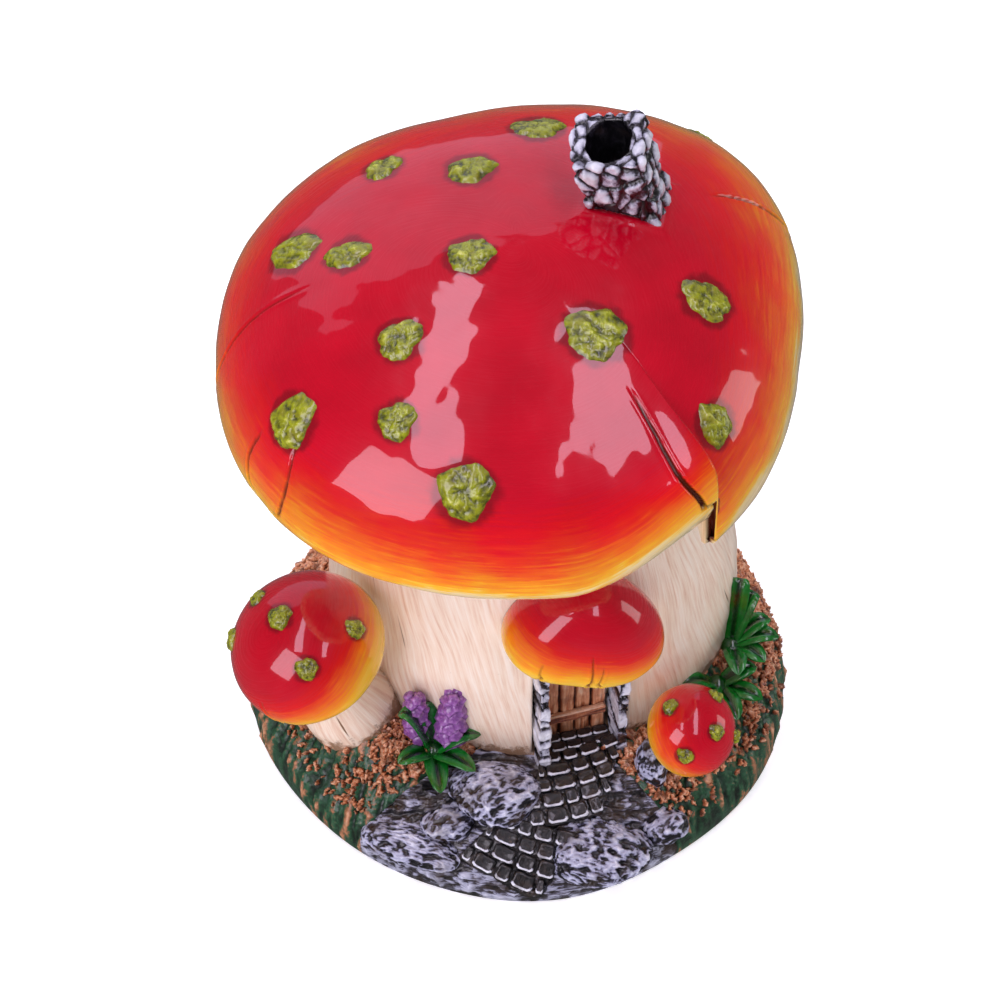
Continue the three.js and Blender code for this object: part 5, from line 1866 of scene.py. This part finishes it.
@dataclass
class Rosette:
    """Thick glossy leaves that grow from one hub."""

    name: str
    node: str
    place: Matrix
    hub: float
    width: float
    leaves: Sequence[Leaf]
    thickness: float = 1.5
    arch: float = 115.0
    groove: float = 0.55
    full: float = 0.9

    def blade(self, leaf: Leaf) -> Part:
        """Gives one arched leaf with a groove down its middle."""
        along, round_it = grid(np.linspace(0, 1, 26), full_turn(28, 2 * math.pi))
        reach = leaf.length * math.sqrt(1 - leaf.rise ** 2)
        height = leaf.rise * leaf.length * np.sin(np.radians(along * self.arch))
        belly = np.clip(np.sin(math.pi * (0.12 + 0.88 * along ** self.full)), 0, 1) ** 0.8
        half = self.width / 2 * (0.3 + 0.75 * belly) * np.clip((1 - along) * 9, 0, 1) ** 0.45
        side = np.cos(round_it)
        over = np.sin(round_it)
        thick = self.thickness * (0.35 + 0.65 * belly) * np.clip((1 - along) * 7, 0.1, 1)
        groove = self.groove * np.exp(-((side / 0.22) ** 2)) * (over > 0) * np.clip((1 - along) * 4, 0, 1)
        curl = 0.5 * side ** 2 * belly
        out, across = toward(leaf.bearing), toward(leaf.bearing + 90)
        points = out * (reach * along)[..., None] + across * (half * side)[..., None]
        points[..., 2] = height + thick * np.where(over > 0, 0.55, 0.85) * over - groove + curl
        skin = Skin(points)
        ribs = grain(np.stack([side * 3.0, along * 1.5, 0 * along], -1) + leaf.bearing, 1.0, 2)
        skin.raise_by(0.12 * ribs * np.clip((1 - along) * 9, 0, 1))
        # Painted light and shade: the upper face lighter, the underside and the middle groove darker
        skin.tones["high"] = leveled(0.5 * over + 0.5 * np.abs(side) + 0.35 * ribs - 2.0 * groove, -0.4, 1.2)
        return skin.part()

    def build(self) -> None:
        """Builds the rosette."""
        polar, bearing = grid(np.radians(np.linspace(8, 172, 16)), full_turn(24))
        points = around(bearing, self.hub * 0.9 * np.sin(polar), self.hub * 0.9 * np.cos(polar))
        hub = Skin(points, tones={"high": np.full_like(polar, 0.3)})
        made = gathered([hub.part(), *[self.blade(leaf) for leaf in self.leaves]])
        made.points = placed(made.points, self.place)
        made.piece(self.name, Paints.LEAF, [self.node])


@dataclass
class Spike:
    """A hyacinth's flower spike: buds set round a stem on a spiral."""

    node: str
    place: Matrix
    height: float
    radius: float
    tiers: int
    tier_buds: int = 6
    spiral: float = 137.5

    def build(self) -> None:
        """Builds the spike."""
        buds = Setting(bud_form(), Paints.FLOWER, rough=0.25, pitch=1.1, seed=4.0)
        pitch = self.height / (self.tiers + 1)
        count = self.tier_buds * self.tiers
        for number in range(count):
            share = (number + 0.5) / count
            level = pitch * (1.0 + share * (self.tiers - 0.4))
            reach = self.radius * (1 - 0.5 * share ** 2) * 0.62
            out = toward(self.spiral * number)
            spot = out * reach + np.array([0, 0, level])
            way = Vector(out) + Vector((0, 0, 0.2 + share))
            size = self.radius * (0.58 - 0.16 * share)
            facing = way.to_track_quat("Z", "Y").to_matrix()
            buds.put(placed(spot, self.place), self.place.to_3x3() @ facing, (size, size, size * 1.1))
        core = self.radius * 0.5
        for tier in range(self.tiers + 1):
            spot = np.array([0.0, 0.0, pitch * 0.2 + tier * pitch * 0.9])
            buds.put(placed(spot, self.place), self.place.to_3x3(), (core, core, pitch * 0.8))
        buds.piece(f"{self.node}_buds", [self.node])


@dataclass
class BarkChips:
    """Flakes of bark pressed into the turf."""

    seed: int = 5
    tries: int = 6800
    length: float = 3.9
    width: float = 2.5
    height: float = 1.0

    def build(self) -> None:
        """Scatters the chips over the banks."""
        chips = Setting(chip_form(), Paints.CHIP, rough=0.9, pitch=1.4, seed=2.0)
        generator = np.random.default_rng(self.seed)
        bearing = generator.uniform(18, 344, self.tries)
        share = generator.uniform(0.02, 0.98, self.tries)
        spots = GROUND.point(bearing, share)
        seen = np.degrees(np.arctan2(spots[:, 0] - Ground.apex[0], Ground.apex[1] - spots[:, 1]))
        on_bank = (seen < Ground.ledge[0] - 2) | (seen > Ground.ledge[1] + 2)
        clumps = grain(spots, 10.0, 2, 3.0)
        density = leveled(clumps, -0.75, 0.45) * (0.16 + 0.84 * leveled(0.95 - share, 0.0, 0.5))
        density = np.where(np.abs(bearing - 180) < 70, 0.5 * density, np.minimum(1.5 * density, 1))
        kept = on_bank & (generator.uniform(0, 1, self.tries) < density)
        for spot, turn, place in zip(spots[kept], bearing[kept], share[kept]):
            outward = GROUND.point(turn, place + 0.05) - spot
            side = np.cross(outward, toward(turn + 90))
            up = side if side[2] > 0 else -side
            tip = Matrix.Rotation(generator.normal(0, 0.3), 3, "Y")
            twist = Matrix.Rotation(generator.normal(0, 0.8), 3, "Z") @ tip
            scale = generator.uniform(0.6, 1.6) * (1.05 - 0.6 * place)
            size = (self.length * scale, self.width * scale, self.height * generator.uniform(0.7, 1.5))
            chips.put(spot + 0.5 * up / np.linalg.norm(up), basis(outward, up) @ twist, size)
        chips.piece("bark_chips", []).data.shade_flat()


@dataclass
class Gills:
    """The ring of thin gills under the main cap, on the plate that carries them."""

    inner: float = 21.5
    outer: float = 69.6
    top: float = 6.6
    plate: float = 2.8
    depth: float = 6.0
    thickness: float = 1.1
    count: int = 96
    columns: int = 360

    def build(self) -> None:
        """Builds the plate and the blades."""
        bearing = full_turn(self.columns)
        under = self.top - self.plate
        corners = ((self.inner, self.top), (self.outer, self.top), (self.outer, under), (self.inner, under))
        radius, height = [np.repeat(np.array(side)[:, None], self.columns, 1) for side in zip(*corners)]
        points = MAIN_CAP.shaped(np.broadcast_to(bearing, radius.shape), radius, height)
        # The plate between the blades is dark with painted shade
        ring = Skin(points, tones={"high": np.full_like(height, 0.2)})
        ring.piece("gill_plate", Paints.GILLS, ["cap_gills"], CAP_PLACE)
        blades = Setting(self.blade(), Paints.GILLS, rough=0.0)
        for number in range(self.count):
            blades.put(np.zeros(3), turn_to(360 * number / self.count).to_3x3(), (1.0, 1.0, 1.0))
        mesh = blades.mesh("gill_blades")
        flat = np.zeros(len(mesh.vertices) * 3)
        mesh.vertices.foreach_get("co", flat)
        spots = flat.reshape(-1, 3) / MM
        turned = np.degrees(np.arctan2(spots[:, 0], -spots[:, 1]))
        shaped = MAIN_CAP.shaped(turned, np.hypot(spots[:, 0], spots[:, 1]), spots[:, 2])
        mesh.vertices.foreach_set("co", (placed(shaped, CAP_PLACE) * MM).ravel())
        dressed("gill_blades", mesh, Paints.GILLS, ["cap_gills"])

    def blade(self) -> Part:
        """Gives one blade at the front, from the trunk out to the lip."""
        rows, tone = [], []
        half = self.thickness / 2
        for share in (0.0, 0.05, 0.2, 0.4, 0.6, 0.8, 0.95, 1.0):
            radius = mix(self.inner + 8, self.outer - 0.5, share)
            root = self.top - self.plate + 0.4
            edge = self.top - self.plate - self.depth * min(1.0, 0.4 + (1 - share) * 4.0)
            corners = ((-half, root), (half, root), (0.5 * half, edge), (-0.5 * half, edge))
            rows.append([[across, -radius, height] for across, height in corners])
            # Dark at the root and pale at the edge: painted shade up between the blades
            tone.append([0.1, 0.1, 0.9, 0.9])
        return Skin(np.array(rows), tones={"high": np.array(tone)}).part()


# Sizes of the pieces beside the cap

PORCH_CAP = CapShape(
    radius=19.3, dome=23.5, fullness=1.85, lip_drop=4.0, lip_tuck=2.4, recess=2.0,
    outline=(Wave(2, 0.19, 80), Wave(5, 0.014, 8)),
)
PORCH_SPLITS = (Split(-5, -6, 66, 2.2, 1.4), Split(5, 4, 76, 1.6, 1.2), Split(-54, -51, 78, 1.8, 1.2))
PORCH_BEARING = 13.5
PORCH_HEIGHT = 82.0
PORCH_OUT = 2.9

CHIMNEY_BOSS = Boss(bearing=119, polar=21.5, half=(10.2, 8.8), turn=-9)
MAIN_BANDS = (EdgeBand(-142, 42, 34), EdgeBand(150, 42, 32), EdgeBand(90, 42, 20))
PORCH_BANDS = (EdgeBand(-75, 40, 4), EdgeBand(80, 35, 2), EdgeBand(0, 40, 1))

TOADSTOOLS = (
    Toadstool(
        "left_toadstool", foot=(-56.0, 10.3), lean=(-66.0, 19.0), stem=(12.5, 9.0, 31.0), tilt=(-28.0, 8.6),
        shape=CapShape(
            radius=22.3, dome=21.0, fullness=2.1, lip_drop=4.5, lip_tuck=2.6, recess=1.0,
            outline=(Wave(2, 0.02, -60),),
        ),
        splits=(Split(-29, -33, 68, 2.0, 1.3),),
        patches=(
            Patch(179, 5, 8, 8), Patch(23, 40, 7, 7), Patch(84, 58, 6, 7), Patch(-143, 38, 6, 6),
            Patch(-98, 58, 7, 7),
        ),
        bands=(EdgeBand(70, 55, 7), EdgeBand(-60, 40, -3)),
    ),
    Toadstool(
        "right_toadstool", foot=(44.0, 11.3), lean=(40.0, 16.0), stem=(6.5, 5.0, 12.0), tilt=(30.0, 22.0),
        shape=CapShape(
            radius=13.3, dome=13.0, fullness=2.1, lip_drop=3.0, lip_tuck=1.6, recess=0.8,
            outline=(Wave(2, 0.02, 20),),
        ),
        splits=(),
        patches=(
            Patch(-117, 57, 5.4, 5), Patch(160, 52, 5, 4.6), Patch(76, 12, 5, 5.4), Patch(88, 62, 4.6, 6),
            Patch(-29, 46, 5.6, 5),
        ),
        bands=(EdgeBand(-60, 55, 3), EdgeBand(60, 40, -3), EdgeBand(180, 60, -5)),
    ),
)

PATHS = (
    Path("door_steps", "door_steps", 5, PathEnd(14.5, 0.05, 12.5), PathEnd(10.5, 0.55, 10.0), slant=-0.02),
    Path("garden_path", "garden_path", 4, PathEnd(3, 0.66, 10.0), PathEnd(-4, 0.93, 10.0), slant=0.09),
)

ROCKS = (
    Rock("boulder_left", 1, -9, 0.38, (13, 10, 6.5), turn=-8, rise=0.9, vein=0.8, vein_lean=35),
    Rock("boulder_front_right", 2, 19, 0.86, (13.5, 11, 7.5), turn=12, rise=0.2, vein=1.1, vein_lean=-30),
    Rock("stone_pillar", 3, 34.5, 0.42, (4.6, 6, 9), turn=10, rise=1.7),
    Rock("rock_front_left", 4, -27, 0.9, (15, 7, 5), turn=-24, rise=0.0, vein=0.8, vein_lean=10),
    Rock("rock_middle_left", 5, -19, 0.68, (8.5, 5.5, 4.4), turn=6, rise=0.3),
    Rock("rock_right_small", 6, 36, 0.9, (6.5, 6, 4.6), turn=0, rise=0.4),
)

HYACINTH_FOOT = (-29.0, 5.1)
HYACINTH_LEAVES = (
    Leaf(-150, 17, 0.9), Leaf(-98, 20, 0.86), Leaf(-55, 13, 0.3), Leaf(8, 17, 0.15), Leaf(49, 17, 0.3),
    Leaf(92, 16, 0.5),
)
LOWER_LEAVES = (
    Leaf(-62, 15, 0.5), Leaf(-22, 16, 0.35), Leaf(18, 17, 0.25), Leaf(60, 15, 0.2), Leaf(105, 13, 0.4),
)
UPPER_LEAVES = (
    Leaf(166, 24, 0.92), Leaf(138, 20, 0.85), Leaf(108, 15, 0.6), Leaf(80, 16, 0.5), Leaf(42, 15, 0.4),
    Leaf(4, 17, 0.4),
)


def porch() -> SmallCap:
    """Gives the small cap over the door."""
    reach = float(TRUNK.reach(PORCH_BEARING, PORCH_HEIGHT)) + PORCH_OUT
    spot = toward(PORCH_BEARING) * reach + np.array([0, 0, PORCH_HEIGHT])
    place = TRUNK.place() @ standing_at(spot) @ lean_towards(75, 8) @ turn_to(PORCH_BEARING)
    return SmallCap("porch_skin", "porch_cap", PORCH_CAP, place, PORCH_SPLITS, bands=PORCH_BANDS, seam=0.9)


def plants() -> None:
    """Builds the hyacinth and both rosettes."""
    ground = standing_at(GROUND.beside_trunk(*HYACINTH_FOOT))
    for node, side, back, height, radius, lean, tiers in (
        ("hyacinth_spike_left", -3.9, 4.4, 22.0, 4.2, -4.0, 5),
        ("hyacinth_spike_right", 4.6, 2.6, 26.0, 4.6, 4.0, 6),
    ):
        place = ground @ standing_at((side, back, 0)) @ lean_towards(90, lean)
        Spike(node, place, height, radius, tiers).build()
    Rosette("hyacinth_blades", "hyacinth_leaves", ground, 3.4, 6.6, HYACINTH_LEAVES, thickness=1.7).build()
    for node, foot, hub, leaves in (
        ("leaf_rosette_lower", (61.0, 5.8), 3.6, LOWER_LEAVES),
        ("leaf_rosette_upper", (72.0, 3.1), 3.8, UPPER_LEAVES),
    ):
        place = standing_at(GROUND.beside_trunk(*foot, hub * 0.4))
        Rosette(f"{node}_blades", node, place, hub, 6.4, leaves, thickness=2.1, full=1.2).build()


# Studio

@dataclass(frozen=True)
class Softbox:
    """A long soft light, from a near end to a far end, each a bearing and an elevation."""

    name: str
    near: Pair
    far: Pair
    width: float
    radiance: float
    tint: str = "#FFFFFF"
    distance: float = 1.3

    def build(self, target: Vector) -> None:
        """Hangs the light so that it faces the target."""
        ends = []
        for bearing, elevation in (self.near, self.far):
            level = math.cos(math.radians(elevation))
            way = Vector(toward(bearing)) * level + Vector((0, 0, math.sin(math.radians(elevation))))
            ends.append(target + way * self.distance)
        span = ends[1] - ends[0]
        middle = (ends[0] + ends[1]) / 2
        facing = (middle - target).normalized()
        length_way = (span - facing * span.dot(facing)).normalized()
        side = length_way.cross(facing)
        light = bpy.data.lights.new(self.name, "AREA")
        light.color = linear(self.tint)[:3]
        light.shape = "RECTANGLE"
        light.size = self.width
        light.size_y = span.length
        light.energy = self.radiance * math.pi * self.width * span.length
        turn = Matrix((side, length_way, facing)).transposed()
        shown(self.name, light).matrix_world = standing_at(middle) @ turn.to_4x4()


LIGHTS = (
    Softbox("strip_left", (-30, 48), (-160, 62), width=0.16, radiance=5.4, tint="#F2E6FF"),
    Softbox("strip_right", (22, 38), (150, 66), width=0.2, radiance=5.2, tint="#F2E6FF"),
    Softbox("window_left", (-42, 8), (-34, 44), width=0.62, radiance=4.8, tint="#F8EEFF"),
    Softbox("card_right", (95, 0), (95, 24), width=0.45, radiance=2.6),
    Softbox("sweep_back", (-125, 30), (155, 26), width=0.8, radiance=0.8, tint="#DCDCFF"),
)


@dataclass
class Studio:
    """The camera, the pale floor and the soft lights."""

    target: Vector = field(default_factory=lambda: Vector((-5.5, 7.0, 88.0)) * MM)
    distance: float = 0.9
    elevation: float = 50.0
    lens: float = 113.4
    nearest: float = 0.05
    room_light: float = 0.13
    floor_size: float = 2.4
    floor_glow: float = 0.55
    wall: float = 1.0
    bend: float = 0.35
    bend_steps: int = 12

    def build(self) -> None:
        """Builds the studio."""
        bpy.context.scene.view_settings.view_transform = "Standard"
        self.camera()
        self.floor()
        world = bpy.data.worlds.new("room")
        world.use_nodes = True
        room = world.node_tree.nodes["Background"].inputs
        room["Color"].default_value = linear("#FFFFFF")
        room["Strength"].default_value = self.room_light
        bpy.context.scene.world = world
        for box in LIGHTS:
            box.build(self.target)

    def camera(self) -> None:
        """Sets up the camera, which looks down at the house from the front."""
        lens = bpy.data.cameras.new("camera")
        lens.lens = self.lens
        lens.clip_start = self.nearest
        camera = shown("camera", lens)
        tilt = math.radians(self.elevation)
        camera.location = self.target + Vector((0, -math.cos(tilt), math.sin(tilt))) * self.distance
        camera.rotation_euler = (math.pi / 2 - tilt, 0, 0)
        bpy.context.scene.camera = camera

    def floor(self) -> None:
        """Lays the floor, which bends up into a low wall behind the house."""
        begin = self.wall - self.bend
        profile = [(-self.floor_size, 0.0), (begin, 0.0)]
        for step in range(1, self.bend_steps + 1):
            angle = math.pi / 2 * step / self.bend_steps
            profile.append((begin + self.bend * math.sin(angle), self.bend * (1 - math.cos(angle))))
        profile.append((self.wall, self.wall))
        points = [(side * self.floor_size, y, z) for y, z in profile for side in (-1, 1)]
        faces = [[2 * i, 2 * i + 1, 2 * i + 3, 2 * i + 2] for i in range(len(profile) - 1)]
        mesh = bpy.data.meshes.new("floor")
        mesh.from_pydata(points, [], faces)
        mesh.polygons.foreach_set("use_smooth", [True] * len(faces))
        made = bpy.data.materials.new("floor_white_paper")
        made.use_nodes = True
        settings = {
            "Base Color": linear("#FAFAFA"),
            "Roughness": 0.9,
            "Emission Color": linear("#FFFFFF"),
            "Emission Strength": self.floor_glow,
        }
        for key, value in settings.items():
            made.node_tree.nodes["Principled BSDF"].inputs[key].default_value = value
        mesh.materials.append(made)
        floor = shown("floor", mesh)
        floor.visible_glossy = False


def coat_solids() -> None:
    """Gives every carried-over solid the finish of its slot."""
    finishes: dict[str, Finish] = {}
    for finish in vars(Paints).values():
        if isinstance(finish, Finish):
            finishes.setdefault(finish.slot, finish)
    for row in frame["record"]["subparts"]:
        mesh = frame["nodes"][row["node"]].data
        mesh.materials.clear()
        mesh.materials.append(finishes[row["material_slot"]].material())


def main() -> None:
    """Builds the house and its studio in order."""
    logging.basicConfig(level=logging.INFO, format="%(message)s")
    Studio().build()
    coat_solids()
    Trunk().build()
    Ground().build()
    patch_names = [f"cap_moss_{number:02d}" for number in range(1, len(CAP_PATCHES) + 1)]
    Cap(
        "cap_skin", "main_cap", MAIN_CAP, CAP_PLACE, CAP_SPLITS, CAP_PATCHES, patch_names,
        columns=330, rows=170, uneven=0.22, bands=MAIN_BANDS, boss=CHIMNEY_BOSS,
    ).build()
    Gills().build()
    Chimney().build()
    Doorway().build()
    porch().build()
    for toadstool in TOADSTOOLS:
        toadstool.build()
    for path in PATHS:
        path.build()
    for rock in ROCKS:
        rock.build()
    plants()
    BarkChips().build()


if __name__ == "__main__":
    main()
